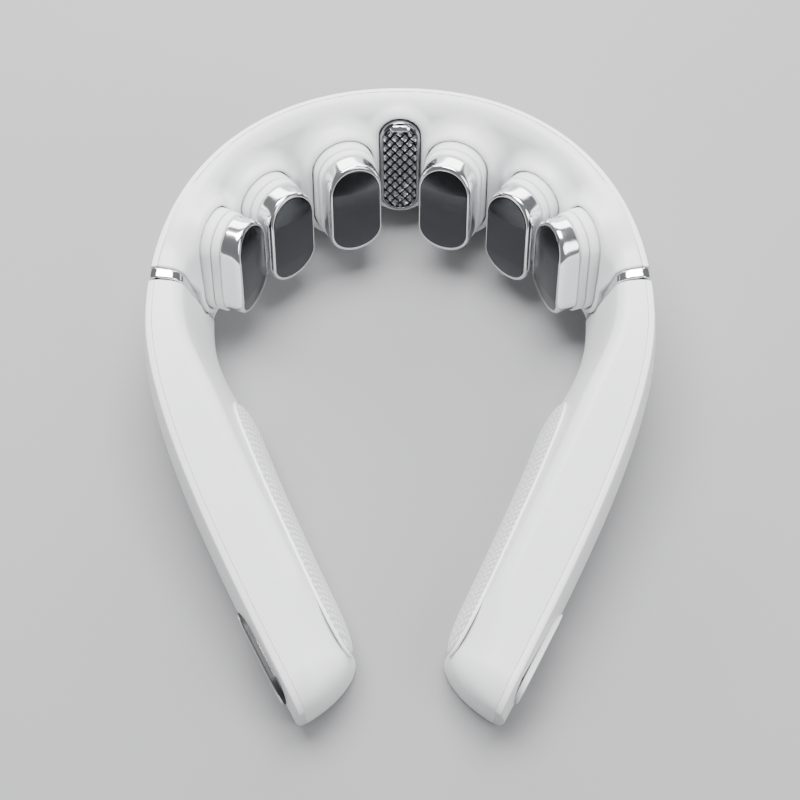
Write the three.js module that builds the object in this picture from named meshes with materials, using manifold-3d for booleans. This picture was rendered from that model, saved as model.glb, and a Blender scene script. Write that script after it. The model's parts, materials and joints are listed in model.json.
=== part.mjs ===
// A shiatsu neck massager: a horseshoe worn round the neck, lying flat on its underside. The nape section
// is at +Y and carries six sprung electrode heads and a knurled heating pill. An arm is hinged to each end
// of it, behind a chrome ring. Millimetres, +Z up, left is -X.

import * as THREE from 'three';
import { mergeVertices } from 'three/addons/utils/BufferGeometryUtils.js';
import Module from 'manifold-3d';

const wasm = await Module();
wasm.setup();

const { Vector2, Vector3 } = THREE;
const { degToRad } = THREE.MathUtils;

// ---------------------------------------------------------------- driving dimensions, millimetres

const GAP = 0.3; // between pieces that rest on each other
const WALL = 1.8; // moulded casing
const RIM_STRIP = 1.9; // width of the bevelled strip along the outer edge
const RIM_DROP = 1.1; // height of that bevel
const FOOT_LAP = 4; // how far the outer casing turns under the bottom

// The outer edge, seen from above, from the middle of the nape to the left arm's tip.
const NAPE_RIM = new THREE.CubicBezierCurve3(
  new Vector3(0, 100.2, 45),
  new Vector3(-48.4, 100.2, 45),
  new Vector3(-78.4, 67.2, 48),
  new Vector3(-78.4, 21.4, 45.5),
);
const ARM_RIM = new THREE.CubicBezierCurve3(
  new Vector3(-78.4, 21.4, 45.5),
  new Vector3(-78.4, -11, 43.5),
  new Vector3(-48.3, -63, 29),
  new Vector3(-30.1, -98.4, 26),
);
const NAPE_LENGTH = NAPE_RIM.getLength();
const RIM_LENGTH = NAPE_LENGTH + ARM_RIM.getLength();

// The casing's section at distances along the rim: width of the top face, lean of the inner wall from
// upright, inset of the outer wall's foot, bulge of the outer wall, radius of the inner top edge and how
// high the inner wall starts to turn under.
const SECTION_KEYS = [
  { run: 0, top: 7.1, lean: 25, foot: 7, bulge: 0.5, crown: 4, heel: 11 },
  { run: 48, top: 6.8, lean: 19, foot: 5, bulge: 0.5, crown: 4, heel: 9 },
  { run: 84, top: 8, lean: 13, foot: 2, bulge: 1.6, crown: 4, heel: 9 },
  { run: 108, top: 9.5, lean: 11, foot: 0.5, bulge: 2.4, crown: 4, heel: 11 },
  { run: 130, top: 11.8, lean: 11.5, foot: 0, bulge: 2.6, crown: 4.5, heel: 9 },
  { run: 155, top: 16.4, lean: 12, foot: 0, bulge: 2.6, crown: 5, heel: 2 },
  { run: 190, top: 18.6, lean: 11, foot: 0, bulge: 2.6, crown: 5, heel: 2 },
  { run: 240, top: 18.8, lean: 11, foot: 0, bulge: 2.4, crown: 6, heel: 2 },
  { run: 275, top: 18.8, lean: 10, foot: 0, bulge: 1.2, crown: 6, heel: 2 },
];
const HEEL_SHARE = 0.65; // how far the inner wall turns under, as a share of the height of its turn
const TIP_LENGTH = 11; // over which the arm's end is rounded

const RING_START = NAPE_LENGTH - 15.2;
const RING_WIDTH = 4.1; // at the top, narrowing to the underside
const RING_RAKE = 2.8; // how much narrower it is at the underside
const RING_INSET = 0.25;
const TONGUE_LENGTH = 6;
const TONGUE_INSET = 3.8;
const TONGUE_WALL = 1.2;

const ARM_SWING = 6; // degrees that each arm opens outward
const PIN_INSET = 3.6; // from the rim to the hinge pin's axis
const PIN_RADIUS = 1.2;
const PIN_REACH = 4; // from the ring's arm side to the pin's axis

// The nape wraps round an axis that leans back, so each head is turned about that axis.
const NECK_LEAN = degToRad(25);
const HEADS = [
  { name: 'inner', turn: 19, x: 13.7, y: 61.9, z: 29.6, root: 24.5 },
  { name: 'middle', turn: 42, x: 33.5, y: 53.3, z: 27.6, root: 24 },
  { name: 'outer', turn: 66, x: 45.5, y: 41.5, z: 31.4, root: 20.5 },
];

// Depths are measured back from the middle of a head's face, along its own axis.
const FACE = { width: 15.8, height: 31.5, sag: 2.2 };
const CAP = { width: 18, height: 34.6, depth: 8.2, edge: 1.6 };
const BASE_RING = { width: 18.8, height: 36, depth: 11 };
const SLEEVE = { width: 20.2, height: 36.4, depth: 18.5, wall: 1.7 };
const LIP = { width: 24.8, height: 40, depth: 14.4 };
const BOSS_FOOT = { width: 27, height: 43 };
const OPENING = { width: 21, height: 37.2, depth: 34 };
const STEM = { radius: 2, end: 24 };
const POST = { radius: 3.6, bore: 2.3, front: 19.5, back: 29 };
const SPRING = { radius: 5.1, wire: 0.55, turns: 3.5, front: 11.6, back: 25.5 };

const PILL = { width: 13, height: 36, proud: 5, z: 24.6 };
const PILL_MOUND = { width: 19, height: 41 };

const PAD = { start: 151.5, end: 246.5, foot: 4, top: 23, proud: 3.4, ease: 16 };

const CONTROL_RUN = RIM_LENGTH - 21.6;
const CONTROL = { width: 31, height: 14.6, z: 15.2, tilt: 4 };
const ROCKER = { width: 26.6, height: 10.6 };
const BUTTON_RADIUS = 3;

const CELL = { radius: 6.6, length: 50, run: 172 };
const BOARD = { length: 52, height: 15, thickness: 1.4, run: 172, inset: 9 };
const PORT = { width: 9.6, height: 4, depth: 7, run: RIM_LENGTH - 44, inset: 11 };
const GRILLE = { slots: 11, slot: 1, span: 22, height: 9 };
const SPEAKER = { radius: 7, back: -8, front: -3 };

const ARM_GAP = 0.4;
const HINGE = { eye: [15, 24], radius: 2.3, ear: 3, plate: { start: 3.4, end: 14, thickness: 1.6 } };
const LEAF = { inset: 4.4, low: 30, high: 37, thickness: 0.5, before: 1.5, after: 14 };
const CHASSIS = { band: 1.8, screwRun: 38, screwZ: 14 };
const SCREW = { radius: 1, head: 1.9, length: 5.6, depth: 10.2 };

// ---------------------------------------------------------------- solids

function solidFrom(geometry) {
  const plain = geometry.clone();
  plain.deleteAttribute('normal');
  plain.deleteAttribute('uv');
  const merged = mergeVertices(plain, 1e-4);
  return new wasm.Manifold(new wasm.Mesh({
    numProp: 3,
    vertProperties: merged.attributes.position.array,
    triVerts: Uint32Array.from(merged.index.array),
  }));
}

// The main body of a solid, without crumbs that a grazing cut leaves.
function geometryFrom(solid) {
  const [main] = solid.decompose().sort((a, b) => b.volume() - a.volume());
  const { vertProperties, triVerts } = main.getMesh();
  const geometry = new THREE.BufferGeometry();
  geometry.setAttribute('position', new THREE.BufferAttribute(vertProperties, 3));
  geometry.setIndex(new THREE.BufferAttribute(triVerts, 1));
  geometry.computeVertexNormals();
  return geometry;
}

function signedVolume(positions, index) {
  const corner = (i) => new Vector3().fromArray(positions, index[i] * 3);
  let volume = 0;
  for (let i = 0; i < index.length; i += 3) {
    volume += corner(i).dot(corner(i + 1).cross(corner(i + 2)));
  }
  return volume;
}

function capTriangles(outline) {
  const turn = Math.sign(THREE.ShapeUtils.area(outline));
  return THREE.ShapeUtils.triangulateShape(outline, []).map((triangle) => {
    const area = THREE.ShapeUtils.area(triangle.map((i) => outline[i]));
    return Math.sign(area) === turn ? triangle : [...triangle].reverse();
  });
}

// A closed skin through a row of stations, each an outline in (u, v) and the place of that plane.
function loft(stations) {
  const count = stations[0].outline.length;
  const positions = stations.flatMap(({ outline, place }) => (
    outline.flatMap(({ x, y }) => place(x, y).toArray())
  ));
  const index = [];
  for (let s = 0; s + 1 < stations.length; s += 1) {
    for (let k = 0; k < count; k += 1) {
      const here = s * count + k;
      const next = s * count + ((k + 1) % count);
      index.push(here, next, here + count, next, next + count, here + count);
    }
  }
  const last = (stations.length - 1) * count;
  for (const [i, j, k] of capTriangles(stations[0].outline)) index.push(k, j, i);
  for (const [i, j, k] of capTriangles(stations.at(-1).outline)) {
    index.push(last + i, last + j, last + k);
  }
  if (signedVolume(positions, index) < 0) index.reverse();
  const geometry = new THREE.BufferGeometry();
  geometry.setAttribute('position', new THREE.Float32BufferAttribute(positions, 3));
  geometry.setIndex(index);
  return geometry;
}

function spread(from, to, count) {
  return Array.from({ length: count + 1 }, (_, i) => from + ((to - from) * i) / count);
}

// ---------------------------------------------------------------- the rim and the casing's section

// A place on the rim. Runs are signed: negative is the left side, positive the right.
function rimAt(run) {
  const side = Math.sign(run) || 1;
  const length = Math.abs(run);
  const onNape = length < NAPE_LENGTH;
  const curve = onNape ? NAPE_RIM : ARM_RIM;
  const share = onNape ? length / NAPE_LENGTH : (length - NAPE_LENGTH) / (RIM_LENGTH - NAPE_LENGTH);
  const point = curve.getPointAt(Math.min(share, 1));
  const along = curve.getTangentAt(Math.min(share, 1)).setZ(0).normalize();
  const inward = new Vector3(-along.y, along.x, 0);
  point.addScaledVector(along, Math.max(length - RIM_LENGTH, 0));
  for (const vector of [point, along, inward]) vector.x *= -side;
  return { point, along, inward, height: point.z };
}

const keyValues = SECTION_KEYS.flatMap(({ top, lean, foot, bulge, crown, heel }) => (
  [top, lean, foot, bulge, crown, heel]
));
const sectionCurve = new THREE.CubicInterpolant(SECTION_KEYS.map(({ run }) => run), keyValues, 6);

function sectionAt(run) {
  const [top, lean, foot, bulge, crown, heel] = sectionCurve.evaluate(Math.abs(run));
  const toTip = Math.min((RIM_LENGTH - Math.abs(run)) / TIP_LENGTH, 1);
  const narrowing = Math.sqrt(Math.max(1 - (1 - toTip) ** 2, 0));
  const slope = Math.tan(degToRad(lean));
  const { height } = rimAt(run);
  return {
    height,
    crown,
    heel,
    lean: degToRad(lean),
    foot,
    innerAt: (z) => (top + (height - z) * slope) * narrowing,
    outerAt: (z) => foot * (1 - z / height) - bulge * Math.sin((Math.PI * z) / height),
  };
}

// The section's outline at a run, set in from the skin. x is inward from the rim and y is up.
function sectionOutline(run, inset = 0) {
  const { height, crown, heel, lean, innerAt, outerAt } = sectionAt(run);
  const bottom = inset;
  const top = height - inset;
  const innerTop = innerAt(top) - inset;
  const rimIn = RIM_STRIP - 0.1 + inset;
  const radius = Math.max(Math.min(crown - inset, (innerTop - rimIn) * 0.6), 0.2);
  const bend = new Vector2(innerTop - (radius * (1 - Math.sin(lean))) / Math.cos(lean), top - radius);
  const outline = [new Vector2(outerAt(bottom) + inset + 1.2, bottom)];
  for (const z of [bottom + 1.2, height * 0.28, height * 0.5, height * 0.75, height - RIM_DROP]) {
    outline.push(new Vector2(outerAt(z) + inset, Math.min(z, top - RIM_DROP * 0.5)));
  }
  outline.push(new Vector2(Math.min(rimIn, bend.x - 0.1), top));
  for (const angle of spread(Math.PI / 2, lean, 3)) {
    outline.push(new Vector2(Math.cos(angle), Math.sin(angle)).multiplyScalar(radius).add(bend));
  }
  const turn = Math.max(heel - inset, 0.8);
  const wall = innerAt(bottom + turn) - inset;
  const flat = Math.min(turn * HEEL_SHARE, (wall - outline[0].x) * 0.8);
  for (const angle of spread(0, Math.PI / 2, 3)) {
    const across = wall - flat * (1 - Math.cos(angle));
    outline.push(new Vector2(across, bottom + turn * (1 - Math.sin(angle))));
  }
  return outline;
}

// A station of the casing. Rake slides its foot back towards the nape, and bevel slides what lies outside
// the hinge pin away from it.
function station(run, outline, { rake = 0, bevel = 0 } = {}) {
  const { point, along, inward, height } = rimAt(run);
  return {
    outline,
    place: (x, y) => point.clone().setZ(y)
      .addScaledVector(inward, x)
      .addScaledVector(along, bevel * Math.max(PIN_INSET - x, 0) - rake * (1 - y / height)),
  };
}

function casingSolid(runs, inset, shape = () => ({})) {
  return solidFrom(loft(runs.map((run) => station(run, sectionOutline(run, inset), shape(run)))));
}

// Everything outside the seam between the outer casing and the cover.
function outsideSolid(runs, seam) {
  return solidFrom(loft(runs.map((run) => {
    const { foot, height } = sectionAt(run);
    return station(run, [
      new Vector2(-12, -6),
      new Vector2(foot + FOOT_LAP + seam, -6),
      new Vector2(foot + FOOT_LAP + seam, WALL + 1),
      new Vector2(RIM_STRIP + seam, height - WALL - 2),
      new Vector2(RIM_STRIP + seam, height + 6),
      new Vector2(-12, height + 6),
    ]);
  })));
}

function aboveFloor() {
  return solidFrom(new THREE.BoxGeometry(400, 400, 100).translate(0, 0, 50));
}

// ---------------------------------------------------------------- placed frames

function placed(origin, xAxis, yAxis) {
  const group = new THREE.Group();
  const zAxis = new Vector3().crossVectors(xAxis, yAxis);
  const basis = new THREE.Matrix4().makeBasis(xAxis, yAxis, zAxis).setPosition(origin);
  group.applyMatrix4(basis);
  group.updateMatrixWorld(true);
  return group;
}

// The frame of a piece on the nape's inner wall: z points at the neck and y up along it.
function napeFrame({ x, y, z, turn }) {
  const angle = degToRad(turn);
  const level = new Vector3(
    Math.cos(angle),
    Math.sin(angle) * Math.cos(NECK_LEAN),
    -Math.sin(angle) * Math.sin(NECK_LEAN),
  );
  const up = new Vector3(0, Math.sin(NECK_LEAN), Math.cos(NECK_LEAN));
  return placed(new Vector3(x, y, z), level, up);
}

// A frame on an arm at a run: x along the rim, y up and z out of the outer wall.
function armFrame(run, inset, z, tilt = 0) {
  const { point, inward } = rimAt(run);
  const origin = point.clone().setZ(z).addScaledVector(inward, inset);
  const out = inward.clone().negate();
  const right = new Vector3().crossVectors(new Vector3(0, 0, 1), out).normalize();
  const up = new Vector3(0, 0, 1).applyAxisAngle(right, -degToRad(tilt));
  return placed(origin, right, up);
}

// ---------------------------------------------------------------- round-ended shapes

function pillOutline(width, height, segments = 6) {
  const radius = Math.min(width, height) / 2;
  const reach = new Vector2(Math.max(width - height, 0) / 2, Math.max(height - width, 0) / 2);
  const first = width < height ? 0 : -Math.PI / 2;
  const end = (from, sign) => spread(from, from + Math.PI, segments).map((angle) => (
    new Vector2(radius * Math.cos(angle) + sign * reach.x, radius * Math.sin(angle) + sign * reach.y)
  ));
  return [...end(first, 1), ...end(first + Math.PI, -1)];
}

// A round-ended block through rings of width, height and z, in its own frame.
function pillLoft(rings, segments) {
  return loft(rings.map(([width, height, z, sag = 0]) => ({
    outline: pillOutline(width, height, segments),
    place: (x, y) => new Vector3(x, y, z - sag * (2 * y / height) ** 2),
  })));
}

function pillPrism(width, height, from, to, segments) {
  return pillLoft([[width, height, from], [width, height, to]], segments);
}

function rod(radius, from, to, sides = 12) {
  const geometry = new THREE.CylinderGeometry(radius, radius, to - from, sides);
  geometry.rotateX(Math.PI / 2);
  return geometry.translate(0, 0, (from + to) / 2);
}

function inFrame(geometry, frame) {
  return solidFrom(geometry.clone().applyMatrix4(frame.matrixWorld));
}

// ---------------------------------------------------------------- finishes

const finish = {
  body: { color: 0xe6e9ec, roughness: 0.45, metalness: 0 },
  rim: { color: 0xf6f7f8, roughness: 0.15, metalness: 0 },
  soft: { color: 0xe9ebec, roughness: 0.6, metalness: 0 },
  knit: { color: 0xeceded, roughness: 0.9, metalness: 0 },
  chrome: { color: 0xd8dadd, roughness: 0.06, metalness: 1 },
  steel: { color: 0xa9acb0, roughness: 0.3, metalness: 1 },
  frame: { color: 0x3b3e42, roughness: 0.6, metalness: 0 },
  board: { color: 0x1f5a3a, roughness: 0.5, metalness: 0 },
  cell: { color: 0x2b6fa8, roughness: 0.4, metalness: 0 },
};

const massager = new THREE.Group();

function add(name, geometry, look, parent = massager) {
  const mesh = new THREE.Mesh(geometry, new THREE.MeshStandardMaterial(finish[look]));
  mesh.name = name;
  parent.add(mesh);
  return mesh;
}

// ---------------------------------------------------------------- nape section

const RING_END = RING_START + RING_WIDTH;
const headFrames = [-1, 1].flatMap((side) => HEADS.map((head) => ({
  name: `${head.name}_${side < 0 ? 'left' : 'right'}`,
  root: head.root,
  frame: napeFrame({ ...head, x: side * head.x, turn: -side * head.turn }),
})));

const rearSection = sectionAt(0);
const pillWall = NAPE_RIM.v0.y - rearSection.innerAt(PILL.z);
const pillFrame = napeFrame({ x: 0, y: pillWall, z: PILL.z, turn: 0 });

function buildNapeCasing() {
  const runs = spread(-RING_START, RING_START, 16);
  const cavityRuns = [-RING_START - 2, ...runs, RING_START + 2];
  const full = casingSolid(runs, 0);
  const shell = full.subtract(casingSolid(cavityRuns, WALL));
  let outer = shell.intersect(outsideSolid(cavityRuns, 0));
  for (const side of [-1, 1]) {
    const hole = rod(SCREW.radius + 0.2, -SCREW.depth, SCREW.length - SCREW.depth + GAP);
    outer = outer.subtract(inFrame(hole, chassisScrewFrame(side)));
  }
  let cover = shell.subtract(outsideSolid(cavityRuns, GAP));
  for (const { frame, root } of headFrames) {
    const boss = pillLoft([
      [BOSS_FOOT.width, BOSS_FOOT.height, -root],
      [BOSS_FOOT.width, BOSS_FOOT.height, 4 - root],
      [LIP.width + 1.4, LIP.height + 1.2, -LIP.depth - 4],
      [LIP.width, LIP.height, -LIP.depth - 1.6],
      [LIP.width - 2, LIP.height - 2, -LIP.depth],
    ]);
    cover = cover.add(inFrame(boss, frame));
  }
  const mound = pillLoft([
    [PILL_MOUND.width, PILL_MOUND.height, -2.6],
    [PILL_MOUND.width - 1, PILL_MOUND.height - 1, 0.6],
    [PILL.width + 1.8, PILL.height + 1.8, 2],
  ]);
  cover = cover.add(inFrame(mound, pillFrame));
  for (const { frame } of headFrames) {
    cover = cover.subtract(inFrame(pillPrism(OPENING.width, OPENING.height, -OPENING.depth, 0), frame));
  }
  cover = cover.subtract(inFrame(pillPrism(PILL.width + 0.6, PILL.height + 0.6, -4.5, 9), pillFrame));
  cover = cover.subtract(outsideSolid(cavityRuns, GAP)).intersect(aboveFloor());
  add('centre_outer_shell', geometryFrom(outer), 'rim');
  add('centre_inner_cover', geometryFrom(cover), 'body');
}

// The curved frame behind the heads, with a bored guide post and a spring seat behind each one.
function buildChassis() {
  const runs = spread(-RING_START + 8, RING_START - 8, 10);
  const bandOutline = (run) => {
    const { height, outerAt } = sectionAt(run);
    const [low, middle, high] = [7, height * 0.35, height * 0.62];
    const skin = WALL + 0.5;
    const side = (inset) => [low, middle, high].map((z) => new Vector2(outerAt(z) + inset, z));
    return [...side(skin), ...side(skin + CHASSIS.band).reverse()];
  };
  let chassis = solidFrom(loft(runs.map((run) => station(run, bandOutline(run)))));
  const casing = casingSolid([-RING_START - 2, ...runs, RING_START + 2], WALL + 0.4);
  for (const { frame } of headFrames) {
    const post = inFrame(rod(POST.radius, -POST.back - 6, -POST.front, 8), frame);
    const seat = inFrame(rod(SPRING.radius + 1, -POST.back - 6, -SPRING.back - 0.4, 8), frame);
    chassis = chassis.add(post.add(seat).intersect(casing));
  }
  for (const { frame } of headFrames) {
    chassis = chassis.subtract(inFrame(rod(POST.bore, -POST.back - 12, 0), frame));
  }
  for (const side of [-1, 1]) {
    const frame = chassisScrewFrame(side);
    chassis = chassis.subtract(inFrame(rod(SCREW.radius + 0.15, -12, 0), frame));
  }
  add('chassis', geometryFrom(chassis), 'frame');
}

function chassisScrewFrame(side) {
  return armFrame(side * CHASSIS.screwRun, 0, CHASSIS.screwZ);
}

function screwGeometry() {
  const { radius, head, length } = SCREW;
  const profile = [[0, 0], [head, 0], [head, 1.4], [radius, 1.5], [radius, length - 1], [0, length]];
  const geometry = new THREE.LatheGeometry(profile.map(([r, y]) => new Vector2(r, y)), 12);
  return geometry.rotateX(Math.PI / 2);
}

const COIL_AXIS = new Vector3(0, 0, 1);

function coilGeometry({ radius, wire, turns, front, back }, sides = 4, steps = 7) {
  const rings = spread(0, turns, turns * steps).map((turn) => {
    const angle = turn * 2 * Math.PI;
    const centre = -front - wire - ((back - front - 2 * wire) * turn) / turns;
    return {
      outline: new THREE.EllipseCurve(0, 0, wire, wire).getPoints(sides).slice(1),
      place: (x, y) => new Vector3(radius + x, 0, centre + y).applyAxisAngle(COIL_AXIS, angle),
    };
  });
  return loft(rings);
}

function buildHead({ name, frame }) {
  const { depth, edge } = CAP;
  const cap = pillLoft([
    [CAP.width, CAP.height, -depth],
    [CAP.width, CAP.height, -FACE.sag - edge],
    [FACE.width + 0.9, FACE.height + 1.2, -0.5, FACE.sag],
    [FACE.width, FACE.height, 0, FACE.sag],
  ]);
  const bed = pillPrism(CAP.width - 3, CAP.height - 3, -depth - 1, -depth + 3);
  const head = new THREE.Group();
  head.applyMatrix4(frame.matrix);
  massager.add(head);
  add(`head_cap_${name}`, geometryFrom(solidFrom(cap).subtract(solidFrom(bed))), 'chrome', head);

  const ring = solidFrom(pillPrism(BASE_RING.width, BASE_RING.height, -BASE_RING.depth, -depth - GAP));
  const core = solidFrom(pillPrism(CAP.width - 4, CAP.height - 4, -depth - 1, -depth + 2));
  const stem = solidFrom(rod(STEM.radius, -STEM.end, -depth - 1));
  add(`head_carrier_${name}`, geometryFrom(ring.add(core).add(stem)), 'soft', head);

  const { width, height, wall } = SLEEVE;
  const sleeve = solidFrom(pillPrism(width, height, -SLEEVE.depth, -BASE_RING.depth - GAP));
  const hollow = [width - 2 * wall, height - 2 * wall, -SLEEVE.depth - 1, -BASE_RING.depth + 1];
  const bore = solidFrom(pillPrism(...hollow));
  add(`head_sleeve_${name}`, geometryFrom(sleeve.subtract(bore)), 'soft', head);

  add(`head_spring_${name}`, coilGeometry(SPRING), 'steel', head);
}

function buildHeatPill() {
  const heater = new THREE.Group();
  heater.applyMatrix4(pillFrame.matrix);
  massager.add(heater);
  const { width, height, proud } = PILL;
  add('heat_plate', pillLoft([
    [width, height, -2.8],
    [width, height, proud - 1.6, 0.6],
    [width - 3, height - 3, proud, 0.6],
  ]), 'chrome', heater);
  const board = new THREE.BoxGeometry(width - 2, height / 2, 1.2);
  board.translate(0, -height / 7, -4.4);
  add('heater_board', board, 'board', heater);
}

// ---------------------------------------------------------------- rings, pins and return springs

const sideName = (side) => (side < 0 ? 'left' : 'right');

// An upright frame at a run: x away from the nape along the rim, z up.
function uprightFrame(run, inset, z, further = 0) {
  const { point, along, inward } = rimAt(run);
  const origin = point.clone().setZ(z).addScaledVector(inward, inset).addScaledVector(along, further);
  return placed(origin, along, new Vector3(0, 0, 1).cross(along));
}

const hingeFrame = (side) => uprightFrame(side * RING_END, PIN_INSET, 0, PIN_REACH);

// The outer head's boss overlaps the ring and the end of the arm, which are cut back round it.
function outerBossSpace(side) {
  const { frame } = headFrames.find(({ name }) => name === `outer_${sideName(side)}`);
  return inFrame(pillPrism(BOSS_FOOT.width + 1.2, BOSS_FOOT.height + 1.2, -30, 0), frame);
}

// A chrome band with a plug that sits in the nape casing, and a tongue and an eye that the arm swings on.
function buildRing(side) {
  const at = (run) => side * (RING_START + run);
  const raked = (run) => ({ rake: Math.abs(run) > RING_START + 1 ? RING_RAKE : 0 });
  const tongueRuns = [at(-1.4), at(RING_WIDTH / 2), at(RING_WIDTH + TONGUE_LENGTH)];
  const boreRuns = [at(-6), ...tongueRuns, at(RING_WIDTH + TONGUE_LENGTH + 3)];
  const band = casingSolid([at(GAP), at(RING_WIDTH - GAP)], RING_INSET, raked);
  const plug = casingSolid([at(-1.4), at(RING_WIDTH / 2)], WALL + 0.5);
  const tongue = casingSolid(tongueRuns, TONGUE_INSET);
  const frame = hingeFrame(side);
  const [low, high] = HINGE.eye;
  const arm = new THREE.BoxGeometry(PIN_REACH, HINGE.radius * 1.6, high - low)
    .translate(-PIN_REACH / 2, 0, (low + high) / 2);
  const eye = inFrame(rod(HINGE.radius, low, high), frame).add(inFrame(arm, frame));
  const ring = band.add(plug).add(tongue)
    .subtract(casingSolid(boreRuns, TONGUE_INSET + TONGUE_WALL))
    .subtract(inFrame(rod(HINGE.radius + 0.8, high, 60), frame))
    .subtract(inFrame(rod(HINGE.radius + 0.8, -5, low), frame))
    .add(eye)
    .subtract(inFrame(rod(PIN_RADIUS + 0.08, 0, 60), frame))
    .subtract(outerBossSpace(side));
  add(`ring_${sideName(side)}`, geometryFrom(ring), 'chrome');
}

function buildHinge(side, arm) {
  const frame = hingeFrame(side);
  const { eye: [low, high], ear, radius, plate } = HINGE;
  const pin = solidFrom(rod(PIN_RADIUS, low - ear - 1, high + ear + 0.6))
    .add(solidFrom(rod(PIN_RADIUS + 0.9, high + ear + 0.6, high + ear + 1.6)));
  add(`hinge_pin_${sideName(side)}`, geometryFrom(pin.transform(frame.matrix.elements)), 'steel');

  const earAt = (from) => solidFrom(rod(radius, from, from + ear))
    .add(solidFrom(new THREE.BoxGeometry(plate.start + 1, radius * 1.4, ear)
      .translate((plate.start + 1) / 2, 0, from + ear / 2)));
  const reach = plate.end - plate.start;
  const bar = new THREE.BoxGeometry(reach, plate.thickness, high - low + 2 * ear + 2 * GAP)
    .translate(plate.start + reach / 2, 0, (low + high) / 2);
  const bracket = earAt(low - ear - GAP).add(earAt(high + GAP)).add(solidFrom(bar))
    .subtract(solidFrom(rod(PIN_RADIUS + 0.08, 0, 60)));
  const bracketShape = geometryFrom(bracket.transform(frame.matrix.elements));
  add(`hinge_bracket_${sideName(side)}`, bracketShape, 'steel', arm);
}

// A thin leaf that bridges the joint and swings the arm back in.
function buildReturnLeaf(side) {
  const { inset, low, high, thickness, before, after } = LEAF;
  const runs = spread(RING_START - before, RING_END + after, 6).map((run) => side * run);
  const outline = [
    new Vector2(inset, low),
    new Vector2(inset + thickness, low),
    new Vector2(inset + thickness, high),
    new Vector2(inset, high),
  ];
  add(`return_leaf_${sideName(side)}`, loft(runs.map((run) => station(run, outline))), 'steel');
}

// ---------------------------------------------------------------- arms

const CONTROL_INSET = sectionAt(CONTROL_RUN).outerAt(CONTROL.z);
const controlFrame = (side) => armFrame(side * CONTROL_RUN, CONTROL_INSET, CONTROL.z, CONTROL.tilt);

function armRuns() {
  const start = RING_END + ARM_GAP;
  return [start, start + 3, ...spread(start + 12, RIM_LENGTH - TIP_LENGTH, 7),
    ...[8, 4.5, 2.5, 1.2, 0.4].map((left) => RIM_LENGTH - left)];
}

// The arm's end follows the ring's raked side, and its outer corner is bevelled to clear it as it opens.
function armShape(run) {
  const past = Math.abs(run) - RING_END;
  return {
    rake: RING_RAKE * Math.max(1 - Math.max(past - 3, 0) / 22, 0),
    bevel: past < 1 ? Math.tan(degToRad(ARM_SWING + 1.5)) : 0,
  };
}

function buildArm(side) {
  const arm = new THREE.Group();
  massager.add(arm);
  const signed = (runs) => runs.map((run) => side * run);
  const runs = armRuns();
  const cavityRuns = [RING_END - 3, ...runs.slice(0, -3)];
  const seamRuns = [RING_END - 8, ...runs, RIM_LENGTH + 6];
  const shell = casingSolid(signed(runs), 0, armShape)
    .subtract(casingSolid(signed(cavityRuns), WALL, armShape));
  const inlay = pillPrism(CONTROL.width + 0.8, CONTROL.height + 0.8, -5, 5, 8);
  const outer = shell.intersect(outsideSolid(signed(seamRuns), 0))
    .subtract(inFrame(inlay, controlFrame(side)));
  let inner = shell.subtract(outsideSolid(signed(seamRuns), GAP)).subtract(outerBossSpace(side));
  if (side > 0) {
    const slot = pillPrism(PORT.width + 0.8, PORT.height + 0.8, -9, 9);
    inner = inner.subtract(inFrame(slot, portFrame()));
  }
  add(`arm_outer_shell_${sideName(side)}`, geometryFrom(outer), 'rim', arm);
  add(`arm_inner_shell_${sideName(side)}`, geometryFrom(inner), 'body', arm);
  buildPad(side, arm);
  buildHinge(side, arm);
  return arm;
}

function buildPad(side, arm) {
  const { start, end, foot, top, proud, ease } = PAD;
  const runs = [0, 0.08, 0.35, 1].map((share) => start + ease * share)
    .concat(spread(start + 2 * ease, end - 2 * ease, 3))
    .concat([1, 0.35, 0.08, 0].map((share) => end - ease * share));
  const stations = runs.map((run) => {
    const nearEnd = Math.min(run - start, end - run, ease) / ease;
    const swell = 0.25 + 0.75 * Math.sqrt(1 - (1 - nearEnd) ** 2);
    const { innerAt } = sectionAt(run);
    const middle = (foot + top) / 2;
    const low = middle - (middle - foot) * swell;
    const high = middle + (top - middle) * swell;
    const face = (z, share) => new Vector2(innerAt(z) + GAP + proud * swell * share, z);
    const levels = [[low, 0], [low + 1, 0.7], [middle, 1], [high - 1.5, 0.75], [high, 0]];
    return station(side * run, levels.map(([z, share]) => face(z, share)), armShape(run));
  });
  add(`arm_pad_${sideName(side)}`, loft(stations), 'knit', arm);
}

function buildControl(arm) {
  const control = new THREE.Group();
  control.applyMatrix4(controlFrame(-1).matrix);
  arm.add(control);
  const { width, height } = CONTROL;
  const rim = [[width, height, -3.2], [width, height, 0.2], [width - 1, height - 1, 0.7]];
  const bezel = solidFrom(pillLoft(rim, 8))
    .subtract(solidFrom(pillPrism(ROCKER.width + 0.9, ROCKER.height + 0.9, -1.7, 3, 8)));
  add('control_bezel', geometryFrom(bezel), 'chrome', control);
  const rocker = solidFrom(pillPrism(ROCKER.width, ROCKER.height, -0.7, 0.6, 8))
    .subtract(solidFrom(rod(BUTTON_RADIUS + 0.35, -2, 2, 20)));
  add('control_rocker', geometryFrom(rocker), 'chrome', control);
  add('power_button', rod(BUTTON_RADIUS, -0.7, 0.9, 20), 'chrome', control);
  let board = solidFrom(new THREE.BoxGeometry(28, 11, 1.2).translate(0, 0, -6.4));
  for (const x of [-10, 0, 10]) {
    board = board.add(solidFrom(new THREE.BoxGeometry(3.4, 3.4, 2).translate(x, 0, -5)));
  }
  add('switch_board', geometryFrom(board), 'board', control);
}

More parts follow.
